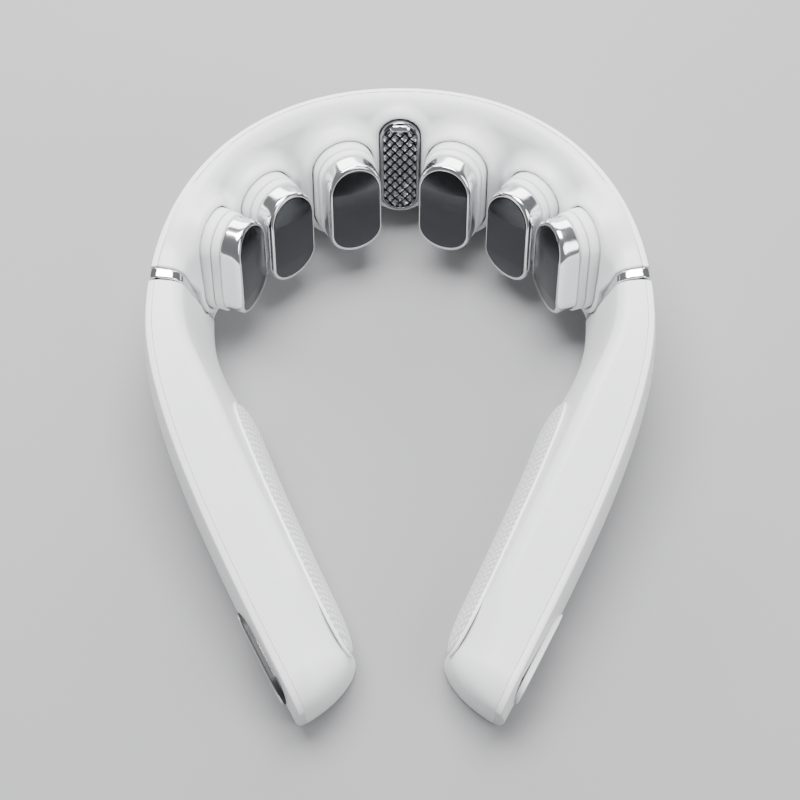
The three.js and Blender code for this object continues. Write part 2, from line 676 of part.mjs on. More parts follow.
function buildPower(arm) {
  const { radius, length, run } = CELL;
  const frame = uprightFrame(-run, 9.8, 10.6);
  const bay = new THREE.Group();
  bay.applyMatrix4(frame.matrix);
  arm.add(bay);
  const cell = new THREE.CylinderGeometry(radius, radius, length, 18).rotateZ(Math.PI / 2);
  add('battery', cell, 'cell', bay);
  const cradle = new THREE.BoxGeometry(length - 8, 2 * radius, radius).translate(0, 0, -radius / 2 - 1.5);
  const hollow = new THREE.CylinderGeometry(radius + GAP, radius + GAP, length, 18).rotateZ(Math.PI / 2);
  add('battery_bracket', geometryFrom(solidFrom(cradle).subtract(solidFrom(hollow))), 'frame', bay);
}

function buildSound(arm) {
  const sound = new THREE.Group();
  sound.applyMatrix4(controlFrame(1).matrix);
  arm.add(sound);
  const { width, height } = CONTROL;
  const rim = [[width, height, -1.5], [width, height, 0.1], [width - 1, height - 1, 0.5]];
  let grille = solidFrom(pillLoft(rim, 8));
  for (const x of spread(-GRILLE.span / 2, GRILLE.span / 2, GRILLE.slots - 1)) {
    const slot = new THREE.BoxGeometry(GRILLE.slot, GRILLE.height, 6).translate(x, 0, 0);
    grille = grille.subtract(solidFrom(slot));
  }
  add('speaker_grille', geometryFrom(grille), 'body', sound);
  const basket = solidFrom(rod(SPEAKER.radius, SPEAKER.back, SPEAKER.front, 20))
    .subtract(solidFrom(rod(SPEAKER.radius - 1.2, SPEAKER.front - 0.8, 0, 20)));
  add('speaker', geometryFrom(basket), 'frame', sound);
}

function buildElectronics(arm) {
  const { length, height, thickness, run, inset } = BOARD;
  const bay = new THREE.Group();
  bay.applyMatrix4(uprightFrame(run, inset, 13).matrix);
  arm.add(bay);
  let board = solidFrom(new THREE.BoxGeometry(length, thickness, height));
  for (const [x, z, wide, tall] of [[-16, 1, 9, 9], [-2, -1, 7, 7], [12, 2, 10, 5]]) {
    board = board.add(solidFrom(new THREE.BoxGeometry(wide, 3, tall).translate(x, 1.2, z)));
  }
  add('main_board', geometryFrom(board), 'board', bay);
  const rail = solidFrom(new THREE.BoxGeometry(length - 12, 7, 5).translate(0, 0, -height / 2 - 0.5))
    .subtract(solidFrom(new THREE.BoxGeometry(length, thickness + 2 * GAP, 5)
      .translate(0, 0, -height / 2 + 2.2)));
  add('board_bracket', geometryFrom(rail), 'frame', bay);
}

// The charging socket's frame: z points down out of the arm's underside.
function portFrame() {
  const { point, along, inward } = rimAt(PORT.run);
  return placed(point.clone().setZ(0).addScaledVector(inward, PORT.inset), along, inward.clone());
}

function buildPort(arm) {
  const port = new THREE.Group();
  port.applyMatrix4(portFrame().matrix);
  arm.add(port);
  const { width, height, depth } = PORT;
  const shell = solidFrom(pillPrism(width, height, -depth, -0.4));
  const hollow = solidFrom(pillPrism(width - 1.2, height - 1.2, 1 - depth, 1));
  const tongue = solidFrom(new THREE.BoxGeometry(width - 4, 0.8, depth - 2).translate(0, 0, -depth / 2));
  add('charge_port', geometryFrom(shell.subtract(hollow).add(tongue)), 'steel', port);
}

// ---------------------------------------------------------------- assembly

buildNapeCasing();
buildChassis();
headFrames.forEach(buildHead);
buildHeatPill();
for (const side of [-1, 1]) {
  buildRing(side);
  buildReturnLeaf(side);
  const screw = add(`chassis_screw_${sideName(side)}`, screwGeometry(), 'steel');
  screw.applyMatrix4(chassisScrewFrame(side).matrix);
  screw.translateZ(-SCREW.depth);
}
const leftArm = buildArm(-1);
buildControl(leftArm);
buildPower(leftArm);
const rightArm = buildArm(1);
buildSound(rightArm);
buildElectronics(rightArm);
buildPort(rightArm);

// The origin is under the middle of the outline.
const outline = new THREE.Box3().setFromObject(massager);
massager.position.set(0, -(outline.min.y + outline.max.y) / 2, -outline.min.z);

export default massager;
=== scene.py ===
"""The looks of a horseshoe neck massager: a smooth casing with six soft bosses, chrome heads, a knurled
heat plate, knit pads and two chrome joint rings. Lengths here are millimetres until a mesh is made."""

import json
import math

import bpy
import numpy as np
from mathutils import Matrix, Vector


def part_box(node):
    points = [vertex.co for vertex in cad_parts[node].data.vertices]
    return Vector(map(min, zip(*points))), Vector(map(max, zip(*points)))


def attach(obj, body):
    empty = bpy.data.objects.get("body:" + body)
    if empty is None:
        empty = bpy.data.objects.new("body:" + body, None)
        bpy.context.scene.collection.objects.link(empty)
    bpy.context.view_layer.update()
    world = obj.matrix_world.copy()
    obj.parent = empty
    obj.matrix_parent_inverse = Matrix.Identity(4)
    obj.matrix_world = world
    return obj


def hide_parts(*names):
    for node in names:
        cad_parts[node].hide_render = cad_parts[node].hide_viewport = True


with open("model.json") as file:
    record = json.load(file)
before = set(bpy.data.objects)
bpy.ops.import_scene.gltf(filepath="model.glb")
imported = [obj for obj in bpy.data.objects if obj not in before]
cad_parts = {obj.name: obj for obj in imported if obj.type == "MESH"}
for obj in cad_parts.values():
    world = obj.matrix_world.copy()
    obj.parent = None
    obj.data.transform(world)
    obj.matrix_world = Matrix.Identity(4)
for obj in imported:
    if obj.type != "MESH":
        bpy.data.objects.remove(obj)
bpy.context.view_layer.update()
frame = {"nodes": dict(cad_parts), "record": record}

MM = 0.001

# ---- driving dimensions

# The left half of the rim, from the middle of the nape to the arm's end, as two Bezier curves.
STEPS = 2400
NAPE_RIM = [(0, 100.2, 45), (-48.4, 100.2, 45), (-78.4, 67.2, 48), (-78.4, 21.4, 45.5)]
ARM_RIM = [(-78.4, 21.4, 45.5), (-78.4, -11, 43.5), (-48.3, -63, 29), (-30.1, -98.4, 26)]

# Run along the rim, top width, inner wall's lean, outer foot's inset, outer bulge, inner edge's radius and
# how high the inner wall starts to turn under.
SECTION_KEYS = np.array([
    (0, 7.1, 25, 7, 0.5, 4, 11),
    (48, 6.8, 19, 5, 0.5, 4, 9),
    (84, 8, 13, 2, 1.6, 4, 9),
    (108, 9.5, 11, 0.5, 2.4, 4, 11),
    (130, 11.8, 11.5, 0, 2.6, 4.5, 9),
    (155, 16.4, 12, 0, 2.6, 5, 2),
    (190, 18.6, 11, 0, 2.6, 5, 2),
    (240, 18.8, 11, 0, 2.4, 6, 2),
    (275, 18.8, 10, 0, 1.2, 6, 2),
])
TIP_LENGTH = 11
TIP_DROP = 8
HEEL_SHARE = 0.65
SOLID_TIP = 12
TIP_CROWN = 9
WALL = 1.8
STRIP = 1.9
STRIP_DROP = 1.1
FOOT_LAP = 4
FOOT_RADIUS = 1.2
CORNER_POINTS = 7
WALL_LEVELS = 18
STRIP_ROWS = range(CORNER_POINTS + WALL_LEVELS, CORNER_POINTS + WALL_LEVELS + 3)
SEAM = 0.07
GAP = 0.3
COVER_STEP = 0.5
RING_STEP = 0.35

# The chrome ring starts RING_BACK before the end of the nape's curve, and leans by RING_RAKE at its foot.
RING_WIDTH = 4.1
RING_BACK = 15.2
RING_RAKE = 2.8
RING_UNDER = 0.2
ARM_GAP = 0.4
ARM_BEVEL = math.tan(math.radians(7.5))
PIN_INSET = 3.6
PIN_REACH = 4

# Each head's turn away from straight ahead, its face's middle and how far behind the face its boss starts.
NECK_LEAN = math.radians(25)
HEADS = {
    "inner": {"turn": 19, "place": (13.7, 61.9, 29.6), "root": 24.5},
    "middle": {"turn": 42, "place": (33.5, 53.3, 27.6), "root": 24},
    "outer": {"turn": 66, "place": (45.5, 41.5, 31.4), "root": 20.5},
}
FACE_WIDTH, FACE_HEIGHT, FACE_SAG = 15.8, 31.5, 2.2
CAP_WIDTH, CAP_HEIGHT, CAP_DEPTH = 18, 34.6, 8.2
BASE_WIDTH, BASE_HEIGHT, BASE_DEPTH = 18.8, 36, 11
STEM_WIDTH = 4
SLEEVE_WIDTH, SLEEVE_HEIGHT, SLEEVE_DEPTH = 20.2, 36.4, 18.5
LIP_WIDTH, LIP_HEIGHT, LIP_DEPTH = 24.8, 40, 14.4
BOSS_WIDTH, BOSS_HEIGHT = 27, 43
BOSS_FILLET, BOSS_EDGE, BOSS_ROOT, BOSS_PAST = 4.2, 1.7, 6, 7
BOSS_ROOM = 1.2
OPENING_WIDTH, OPENING_HEIGHT, OPENING_EDGE = 21, 37.2, 0.35

# The heat plate, the mound it sits in and its knurl.
PILL_WIDTH, PILL_HEIGHT, PILL_PROUD, PILL_Z = 13, 36, 5, 24.6
PLATE_BORDER, PLATE_SAG, PLATE_DEPTH = 1.15, 0.6, 1.9
PLATE_END_WIDTH, PLATE_END_HEIGHT, PLATE_END_TILT = 6.8, 2.8, 48
MOUND_WIDTH, MOUND_HEIGHT, MOUND_PROUD, MOUND_EDGE, MOUND_FILLET = 19, 41, 1.6, 1.9, 2.5
KNURL_WIDE, KNURL_TALL, KNURL_HEIGHT = 3.2, 3.8, 2.1
# How far up each knurl point its painted shade reaches: the dark pit finish stands in for the shade between
# the points.
PIT_SHADE_SHARE = 0.17

# The pad's run along the rim, its height off the table and how proud it is of the arm's wall.
PAD_START, PAD_END, PAD_FOOT, PAD_TOP = 151.5, 246.5, 4, 23
PAD_PROUD, PAD_EASE, PAD_BASE, PAD_FILL = 3.4, 16, 0.55, 0.85
PIPING_RADIUS = 0.55

# The oval control, which the speaker's inlay matches, and the socket. BACK is measured from the arm's end.
CONTROL_BACK, CONTROL_Z, CONTROL_TILT = 21.6, 15.2, 4
CONTROL_WIDTH, CONTROL_HEIGHT = 31, 14.6
ROCKER_WIDTH, ROCKER_HEIGHT = 26.6, 10.6
BUTTON_RADIUS = 3
MARK_OFFSET, MARK_LENGTH, MARK_WIDTH = 9.6, 2.2, 0.4
SLOTS, SLOT_REACH, SLOT_WIDTH, SLOT_HEIGHT = 11, 11, 0.9, 9
POCKET_ROOM = 0.8
PORT_BACK, PORT_INSET, PORT_WIDTH, PORT_HEIGHT, PORT_DEPTH = 44, 11, 9.6, 4, 7

VIEW_Y, DISTANCE, ELEVATION = 8.75, 0.62, math.radians(70)
FLOOR_REACH, FLOOR_ROWS = 3, 24

# ---- the rim


def bezier(points, share):
    a, b, c, d = (np.array(p, float) for p in points)
    t = share[:, None]
    return (1 - t) ** 3 * a + 3 * (1 - t) ** 2 * t * b + 3 * (1 - t) * t**2 * c + t**3 * d


share = np.linspace(0, 1, STEPS)
nape_points = bezier(NAPE_RIM, share)
rim_points = np.vstack([nape_points, bezier(ARM_RIM, share)[1:]])
rim_runs = np.r_[0, np.cumsum(np.linalg.norm(np.diff(rim_points, axis=0), axis=1))]
NAPE_LENGTH = rim_runs[STEPS - 1]
RIM_LENGTH = rim_runs[-1]
RING_START = NAPE_LENGTH - RING_BACK
RING_END = RING_START + RING_WIDTH
rim_along = np.gradient(rim_points[:, :2], rim_runs, axis=0)
rim_along /= np.linalg.norm(rim_along, axis=1)[:, None]


def along_rim(values, run):
    return np.interp(run, rim_runs, values)


def rim_at(run):
    """Places on the left rim: point (x, y), direction away from the nape, and height."""
    point = np.stack([along_rim(rim_points[:, i], run) for i in (0, 1)], -1)
    along = np.stack([along_rim(rim_along[:, i], run) for i in (0, 1)], -1)
    past = np.maximum(run - RIM_LENGTH, 0)
    return point + along * past[..., None], along, along_rim(rim_points[:, 2], run)


def hinge_place():
    point, along, _ = rim_at(np.array(RING_END))
    return point + along * PIN_REACH + np.array([-along[1], along[0]]) * PIN_INSET


pin_low, pin_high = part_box("hinge_pin_left")
SHIFT_Y = (pin_low.y + pin_high.y) / 2 / MM - hinge_place()[1]


def smooth_keys(run):
    """The section's key values at each run, through the same spline as the casing's solids."""
    keys, values = SECTION_KEYS[:, 0], SECTION_KEYS[:, 1:]
    run = np.clip(np.asarray(run, float), keys[0], keys[-1])
    at = np.clip(np.searchsorted(keys, run, side="right"), 1, len(keys) - 1)
    keys = np.r_[2 * keys[0] - keys[1], keys, 2 * keys[-1] - keys[-2]]
    values = np.vstack([values[1], values, values[-2]])
    previous, start, end, following = (keys[at + i] for i in (-1, 0, 1, 2))
    half = (end - start) / 2
    pull = half / (start - previous)
    push = half / (following - end)
    p = (run - start) / (end - start)
    weights = [
        -pull * p**3 + 2 * pull * p**2 - pull * p,
        (1 + pull) * p**3 + (-1.5 - 2 * pull) * p**2 + (-0.5 + pull) * p + 1,
        (-1 - push) * p**3 + (1.5 + push) * p**2 + 0.5 * p,
        push * p**3 - push * p**2,
    ]
    return sum(weight[..., None] * values[at + i - 1] for i, weight in enumerate(weights))


section_values = smooth_keys(rim_runs)


class Section:
    """The casing's section at one run or at many."""

    def __init__(self, run):
        run = np.abs(run)
        self.top, lean, self.foot, self.bulge, self.crown, self.heel = (
            along_rim(section_values[:, i], run) for i in range(6)
        )
        self.lean = np.radians(lean)
        self.height = along_rim(rim_points[:, 2], run)
        to_tip = np.clip((RIM_LENGTH - run) / TIP_LENGTH, 0, 1)
        self.narrowing = np.sqrt(1 - (1 - to_tip) ** 2)
        self.height = self.height - TIP_DROP * (1 - self.narrowing)

    def inner(self, z):
        return (self.top + (self.height - z) * np.tan(self.lean)) * self.narrowing

    def outer(self, z):
        return self.foot * (1 - z / self.height) - self.bulge * np.sin(np.pi * z / self.height)


# ---- meshes


def linked(name, data):
    thing = bpy.data.objects.new(name, data)
    bpy.context.scene.collection.objects.link(thing)
    return thing


def smooth(mesh, sharp_from):
    """Smooth shading, except at edges that turn by more than the angle where there is one."""
    mesh.polygons.foreach_set("use_smooth", np.ones(len(mesh.polygons), bool))
    if sharp_from:
        mesh.set_sharp_from_angle(angle=math.radians(sharp_from))


def make_object(name, points, faces, finishes=(), smooth_angle=35, face_material=None):
    """A mesh piece in the part's frame from points in millimetres. A tool that only cuts has no finishes."""
    mesh = bpy.data.meshes.new(name)
    points = np.asarray(points, float) + (0, SHIFT_Y, 0)
    mesh.from_pydata((points * MM).tolist(), [], [list(map(int, face)) for face in faces])
    for finish in finishes:
        mesh.materials.append(look[finish])
    if face_material is not None:
        mesh.polygons.foreach_set("material_index", np.asarray(face_material, np.int32))
    mesh.update()
    smooth(mesh, smooth_angle)
    return linked(name, mesh)


def mirrored(piece, name):
    """The same piece on the other side of the middle."""
    twin = piece.copy()
    twin.data = piece.data.copy()
    twin.name = name
    bpy.context.scene.collection.objects.link(twin)
    twin.data.transform(Matrix.Scale(-1, 4, (1, 0, 0)))
    twin.data.flip_normals()
    return twin


def install(piece, body, node):
    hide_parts(node)
    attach(piece, body)


def install_pair(piece, right_name, body, node):
    """A piece on the left and its mirror image, which takes the right's body and node."""
    right = mirrored(piece, right_name)
    install(right, body.replace("left", "right"), node.replace("left", "right"))
    install(piece, body, node)


def skin(rings, loop=False):
    """Points and faces of a skin through rings of as many points each, closed by its ends or as a loop."""
    rings = [np.asarray(ring, float) for ring in rings]
    count = len(rings[0])
    total = count * len(rings)
    faces = []
    for base in range(0, total if loop else total - count, count):
        for k in range(count):
            following = (k + 1) % count
            corners = (k, following, count + following, count + k)
            faces.append(tuple((base + corner) % total for corner in corners))
    if not loop:
        faces.append(tuple(range(count - 1, -1, -1)))
        faces.append(tuple(range(total - count, total)))
    return np.vstack(rings), faces


def outward(points, faces):
    """The faces, turned so that the closed skin faces out."""
    volume = 0
    for face in faces:
        a = points[face[0]]
        for i in range(1, len(face) - 1):
            volume += np.dot(a, np.cross(points[face[i]], points[face[i + 1]]))
    return faces if volume > 0 else [tuple(reversed(face)) for face in faces]


def boolean(piece, tool, operation="DIFFERENCE"):
    modifier = piece.modifiers.new("cut", "BOOLEAN")
    modifier.operation = operation
    modifier.object = tool
    modifier.solver = "EXACT"
    depsgraph = bpy.context.evaluated_depsgraph_get()
    mesh = bpy.data.meshes.new_from_object(piece.evaluated_get(depsgraph))
    piece.modifiers.clear()
    piece.data = mesh
    bpy.data.objects.remove(tool)
    smooth(mesh, 35)


# ---- smooth solids from distances


def round_inside(a, b, radius):
    """The distance to what is in both, with the edge between them rounded."""
    apart = np.hypot(np.maximum(a + radius, 0), np.maximum(b + radius, 0))
    return np.minimum(np.maximum(a, b), -radius) + apart


def round_join(a, b, radius):
    """The distance to what is in either, with a fillet where they meet."""
    return -round_inside(-a, -b, radius)


def nearest_runs():
    """A coarse plan of the run nearest to each place."""
    xs = np.arange(-90, 3, 1.0)
    ys = np.arange(-110, 106, 1.0)
    coarse = slice(None, None, 6)
    line = rim_points[coarse, :2]
    plan = np.empty((len(xs), len(ys)))
    for i, x in enumerate(xs):
        squares = (line[None, :, 0] - x) ** 2 + (line[None, :, 1] - ys[:, None]) ** 2
        plan[i] = rim_runs[coarse][np.argmin(squares, axis=1)]
    return xs[0], ys[0], plan


PLAN_X, PLAN_Y, plan_runs = nearest_runs()


def rim_coordinates(x, y):
    """The run and the inset from the left rim of each place with x at or below 0."""
    i = np.clip(np.rint(x - PLAN_X).astype(int), 0, plan_runs.shape[0] - 1)
    j = np.clip(np.rint(y - PLAN_Y).astype(int), 0, plan_runs.shape[1] - 1)
    run = plan_runs[i, j]
    for _ in range(4):
        point, along, _ = rim_at(run)
        run = run + (x - point[..., 0]) * along[..., 0] + (y - point[..., 1]) * along[..., 1]
        run = np.maximum(run, 0)
    point, along, _ = rim_at(run)
    inset = (point[..., 0] - x) * along[..., 1] + (y - point[..., 1]) * along[..., 0]
    return run, inset


def casing_distance(section, inset, z, skin_depth=0.0):
    """How far outside the casing's section, as if its outer wall stood alone."""
    heel = np.maximum(section.heel - skin_depth, 0.8)
    wall = inset - section.inner(np.maximum(z, skin_depth + heel))
    wall = wall * np.cos(section.lean) + skin_depth
    over = z - section.height + skin_depth
    rounded = round_inside(wall, over, np.maximum(section.crown - skin_depth, 0.5))
    rounded = round_inside(rounded / HEEL_SHARE, skin_depth - z, heel) * HEEL_SHARE
    return np.maximum(rounded, section.outer(z) - inset + skin_depth)


def seam_inset(section, z):
    """Where the outer casing stops and the cover starts, from the foot up to the strip."""
    low, high = WALL + 1, section.height - WALL - 2
    rise = np.clip((z - low) / (high - low), 0, 1)
    foot = section.foot + FOOT_LAP
    return foot + (STRIP - foot) * rise


def head_axes(turn):
    """Level, up and forward axes of a head on the left, where up leans with the neck."""
    angle = math.radians(turn)
    lean_cos, lean_sin = math.cos(NECK_LEAN), math.sin(NECK_LEAN)
    level = np.array([math.cos(angle), math.sin(angle) * lean_cos, -math.sin(angle) * lean_sin])
    up = np.array([0, lean_sin, lean_cos])
    return level, up, np.cross(level, up)


def head_frame(name):
    head = HEADS[name]
    x, y, z = head["place"]
    return np.array([-x, y, z]), head_axes(head["turn"])


def pill_distance(u, v, width, height):
    """How far outside a round-ended outline that is upright in v."""
    reach = (height - width) / 2
    return np.hypot(u, np.maximum(np.abs(v) - reach, 0)) - width / 2


def in_frame(points, place):
    origin, axes = place
    return [(points - origin) @ axis for axis in axes]


PILL_INSET = float(Section(np.array(0.0)).inner(PILL_Z))
PILL_FRAME = (np.array([0, NAPE_RIM[0][1] - PILL_INSET, PILL_Z]), head_axes(0))


def boss_side(head, u, v, w, room=0.0):
    """How far outside a boss's tapered side, or outside the room left round it."""
    share = np.clip((w + head["root"]) / (head["root"] - LIP_DEPTH), 0, 1)
    width = BOSS_WIDTH + (LIP_WIDTH - BOSS_WIDTH) * share + room
    height = BOSS_HEIGHT + (LIP_HEIGHT - BOSS_HEIGHT) * share + room
    return pill_distance(u, v, width, height)


def cover_distance(points):
    """The nape's cover: the casing's inner wall with a filleted boss for each head and for the heat plate.

    It stops at the ring, except for the outer boss, which reaches past it.
    """
    points = np.concatenate([-np.abs(points[..., :1]), points[..., 1:]], -1)
    x, y, z = points[..., 0], points[..., 1], points[..., 2]
    run, inset = rim_coordinates(x, y)
    section = Section(run)
    shape = casing_distance(section, inset, z)
    cavity = casing_distance(section, inset, z, WALL)
    openings = []
    end = run - RING_START + SEAM
    for name, head in HEADS.items():
        u, v, w = in_frame(points, head_frame(name))
        side = boss_side(head, u, v, w)
        boss = round_inside(side, w + LIP_DEPTH, BOSS_EDGE)
        boss = np.maximum(boss, -w - head["root"] - BOSS_ROOT)
        shape = round_join(shape, boss, BOSS_FILLET)
        openings.append(pill_distance(u, v, OPENING_WIDTH, OPENING_HEIGHT))
        if name == "outer":
            end = np.minimum(end, np.maximum(side, -w - head["root"] - BOSS_PAST))
    u, v, w = in_frame(points, PILL_FRAME)
    mound = round_inside(pill_distance(u, v, MOUND_WIDTH, MOUND_HEIGHT), w - MOUND_PROUD, MOUND_EDGE)
    shape = round_join(shape, mound, MOUND_FILLET)
    openings.append(pill_distance(u, v, PILL_WIDTH + 0.5, PILL_HEIGHT + 0.5))
    for opening in openings:
        shape = round_inside(shape, -opening, OPENING_EDGE)
    shape = np.maximum(shape, seam_inset(section, z) + SEAM - inset)
    shape = np.maximum(shape, -cavity)
    shape = np.maximum(shape, -z)
    return np.maximum(shape, end)


CORNERS = [(i, j, k) for i in (0, 1) for j in (0, 1) for k in (0, 1)]
EDGES = [(a, b) for a in CORNERS for b in CORNERS if a < b and sum(np.subtract(b, a)) == 1
         and min(np.subtract(b, a)) == 0]


def surface_net(distance, low, high, step, symmetric=False):
    """A quad skin where the distance is zero, drawn onto the true surface."""
    axes = [np.arange(a, b + step, step) for a, b in zip(low, high)]
    grid = np.stack(np.meshgrid(*axes, indexing="ij"), -1)
    values = np.empty(grid.shape[:3], np.float32)
    for i in range(len(axes[0])):
        values[i] = distance(grid[i])
    if symmetric:
        values = np.concatenate([values, values[-2::-1]])
    del grid
    inside = values < 0
    shape = np.array(values.shape) - 1

    def corner(array, offset):
        return array[tuple(slice(o, o + n) for o, n in zip(offset, shape))]

    filled = sum(corner(inside, c).astype(np.int8) for c in CORNERS)
    active = (filled > 0) & (filled < 8)
    cells = np.argwhere(active)
    number = np.full(active.shape, -1, np.int64)
    number[active] = np.arange(len(cells))
    total = np.zeros((len(cells), 3))
    crossings = np.zeros(len(cells))
    for a, b in EDGES:
        here = corner(values, a)[active]
        there = corner(values, b)[active]
        crossed = (here < 0) != (there < 0)
        t = np.where(crossed, here / np.where(crossed, here - there, 1), 0)[:, None]
        spot = np.array(a) + t * (np.array(b) - np.array(a))
        total += spot * crossed[:, None]
        crossings += crossed
    points = np.array(low) + (cells + total / crossings[:, None]) * step
    faces = []
    for axis in range(3):
        first, second = [i for i in range(3) if i != axis]
        ahead = np.eye(3, dtype=int)[axis]
        span = [slice(1, n) for n in shape]
        span[axis] = slice(0, shape[axis])
        moved = tuple(slice(s.start + o, s.stop + o) for s, o in zip(span, ahead))
        here, there = inside[tuple(span)], inside[moved]
        changed = np.argwhere(here != there) + [s.start for s in span]
        leaving = here[here != there]
        one, two = np.eye(3, dtype=int)[first], np.eye(3, dtype=int)[second]
        around = [changed - one - two, changed - two, changed, changed - one]
        quads = np.stack([number[tuple(c.T)] for c in around], -1)
        turned = leaving if axis != 1 else ~leaving
        quads[~turned] = quads[~turned][:, ::-1]
        faces.append(quads)
    return drawn_onto(distance, points, step), np.vstack(faces)


def drawn_onto(distance, points, step):
    """Points moved a little along the slope so that they lie on the surface."""
    small = 0.02
    for _ in range(2):
        here = distance(points)
        slope = np.stack([(distance(points + small * axis) - here) / small for axis in np.eye(3)], -1)
        steep = np.maximum((slope**2).sum(-1), 0.25)
        move = slope * (here / steep)[:, None]
        points = points - np.clip(move, -step / 2, step / 2)
    return points


# ---- finishes


def new_material(name, colour, roughness, metallic=0.0):
    """A material and its shader, with the values that are the same all over set on the shader."""
    material = bpy.data.materials.new(name)
    material.use_nodes = True
    shader = material.node_tree.nodes["Principled BSDF"]
    shader.inputs["Base Color"].default_value = (*colour, 1)
    shader.inputs["Roughness"].default_value = roughness
    shader.inputs["Metallic"].default_value = metallic
    return material, shader


def node(material, kind, **values):
    made = material.node_tree.nodes.new(kind)
    for key, value in values.items():
        if key in made.inputs:
            made.inputs[key].default_value = value
        else:
            setattr(made, key, value)
    return made


def link(material, output, socket):
    material.node_tree.links.new(output, socket)


def noise(material, scale, detail=3.0):
    """Noise in the part's own frame, so that it stays on the surface."""
    place = node(material, "ShaderNodeTexCoord")
    texture = node(material, "ShaderNodeTexNoise", Scale=scale, Detail=detail)
    link(material, place.outputs["Object"], texture.inputs["Vector"])
    return texture.outputs["Fac"]


def uneven_gloss(material, shader, scale, low, high):
    spread = node(material, "ShaderNodeMapRange")
    spread.inputs["To Min"].default_value = low
    spread.inputs["To Max"].default_value = high
    link(material, noise(material, scale), spread.inputs["Value"])
    link(material, spread.outputs["Result"], shader.inputs["Roughness"])


def tinted(material, shader, value, dark, light):
    mix = node(material, "ShaderNodeMix", data_type="RGBA")
    mix.inputs["A"].default_value = (*dark, 1)
    mix.inputs["B"].default_value = (*light, 1)
    link(material, value, mix.inputs["Factor"])
    link(material, mix.outputs["Result"], shader.inputs["Base Color"])


def bumped(material, shader, value, strength, distance):
    bump = node(material, "ShaderNodeBump", Strength=strength, Distance=distance)
    link(material, value, bump.inputs["Height"])
    link(material, bump.outputs["Normal"], shader.inputs["Normal"])


def moulded(name, colour, roughness, grain=0.12, coat=0.0):
    """Moulded plastic: a fine spark-eroded grain, slight clouding and uneven gloss."""
    material, shader = new_material(name, colour, roughness)
    shade = np.array(colour)
    tinted(material, shader, noise(material, 60), tuple(shade * 0.975), tuple(np.minimum(shade * 1.02, 1)))
    uneven_gloss(material, shader, 240, roughness - 0.05, roughness + 0.05)
    bumped(material, shader, noise(material, 5200, 1), grain, 0.00003)
    shader.inputs["Coat Weight"].default_value = coat
    shader.inputs["Coat Roughness"].default_value = 0.08
    return material


def polished(name, colour, roughness, metallic=1.0):
    """Plated metal with a trace of polishing haze."""
    material, shader = new_material(name, colour, roughness, metallic)
    uneven_gloss(material, shader, 420, roughness * 0.7, roughness * 1.5)
    shade = np.array(colour)
    tinted(material, shader, noise(material, 35), tuple(shade * 0.96), tuple(shade))
    return material


def silicone(name, colour):
    material, shader = new_material(name, colour, 0.52)
    uneven_gloss(material, shader, 300, 0.46, 0.6)
    bumped(material, shader, noise(material, 3800, 2), 0.1, 0.00003)
    shader.inputs["Subsurface Weight"].default_value = 0.12
    shader.inputs["Subsurface Radius"].default_value = (0.0012, 0.001, 0.0009)
    shader.inputs["Sheen Weight"].default_value = 0.08
    return material


def knitted(name, colour):
    """A fine two-way diagonal knit over foam."""
    material, shader = new_material(name, colour, 0.85)
    place = node(material, "ShaderNodeTexCoord")
    threads = []
    for turn in (38, -52):
        mapping = node(material, "ShaderNodeMapping")
        mapping.inputs["Rotation"].default_value = (0, math.radians(turn), math.radians(turn * 0.6))
        link(material, place.outputs["Object"], mapping.inputs["Vector"])
        wave = node(material, "ShaderNodeTexWave", wave_type="BANDS", Scale=230.0, Distortion=0.5)
        link(material, mapping.outputs["Vector"], wave.inputs["Vector"])
        threads.append(wave.outputs["Fac"])
    woven = node(material, "ShaderNodeMath", operation="MULTIPLY")
    link(material, threads[0], woven.inputs[0])
    link(material, threads[1], woven.inputs[1])
    fuzz = node(material, "ShaderNodeMath", operation="MULTIPLY_ADD")
    link(material, noise(material, 5000, 2), fuzz.inputs[0])
    fuzz.inputs[1].default_value = 0.25
    link(material, woven.outputs[0], fuzz.inputs[2])
    shade = np.array(colour)
    tinted(material, shader, woven.outputs[0], tuple(shade * 0.5), colour)
    bumped(material, shader, fuzz.outputs[0], 1.0, 0.0004)
    shader.inputs["Sheen Weight"].default_value = 0.35
    shader.inputs["Sheen Roughness"].default_value = 0.4
    return material


look = {
    "casing": moulded("casing", (0.72, 0.728, 0.738), 0.42, coat=0.06),
    # The outer wall is the casing's plastic, painted darker as painted shade on the side turned from the
    # light.
    "wall": moulded("wall", (0.6, 0.607, 0.616), 0.36, coat=0.15),
    # The strip is the casing's plastic with a glossy coat; its colour, whiter than the casing's, is a
    # painted highlight.
    "rim": moulded("rim", (0.98, 0.982, 0.985), 0.14, grain=0.02, coat=0.8),
    "soft": silicone("soft neck", (0.74, 0.748, 0.758)),
    "chrome": polished("chrome", (0.93, 0.935, 0.945), 0.13),
    "knurl": polished("knurl", (0.5, 0.505, 0.515), 0.12),
    "plate": polished("plate", (0.25, 0.253, 0.26), 0.14),
    # Near-black metal for the knurl's lower faces: painted shade in the pits between its points.
    "painted_pit_shade": polished("knurl painted shade", (0.035, 0.036, 0.038), 0.3),
    "dark mirror": polished("dark mirror", (0.07, 0.072, 0.077), 0.18),
    "silver": polished("silver", (0.9, 0.905, 0.915), 0.26, 0.45),
    "steel": polished("steel", (0.55, 0.56, 0.58), 0.3),
    "knit": knitted("knit", (0.84, 0.845, 0.85)),
    "piping": moulded("piping", (0.88, 0.885, 0.89), 0.4, grain=0.3),
    "gasket": moulded("gasket", (0.012, 0.012, 0.013), 0.45),
    "frame": moulded("charcoal", (0.03, 0.032, 0.035), 0.5, grain=0.3),
    "board": moulded("board", (0.02, 0.12, 0.05), 0.35, coat=0.5),
    "cell": moulded("cell sleeve", (0.03, 0.11, 0.3), 0.3, coat=0.3),
}


# ---- casing pieces


def arc(centre, radius, start, end, count):
    angles = np.radians(np.linspace(start, end, count))
    return [(centre[0] + radius * math.cos(a), centre[1] + radius * math.sin(a)) for a in angles]


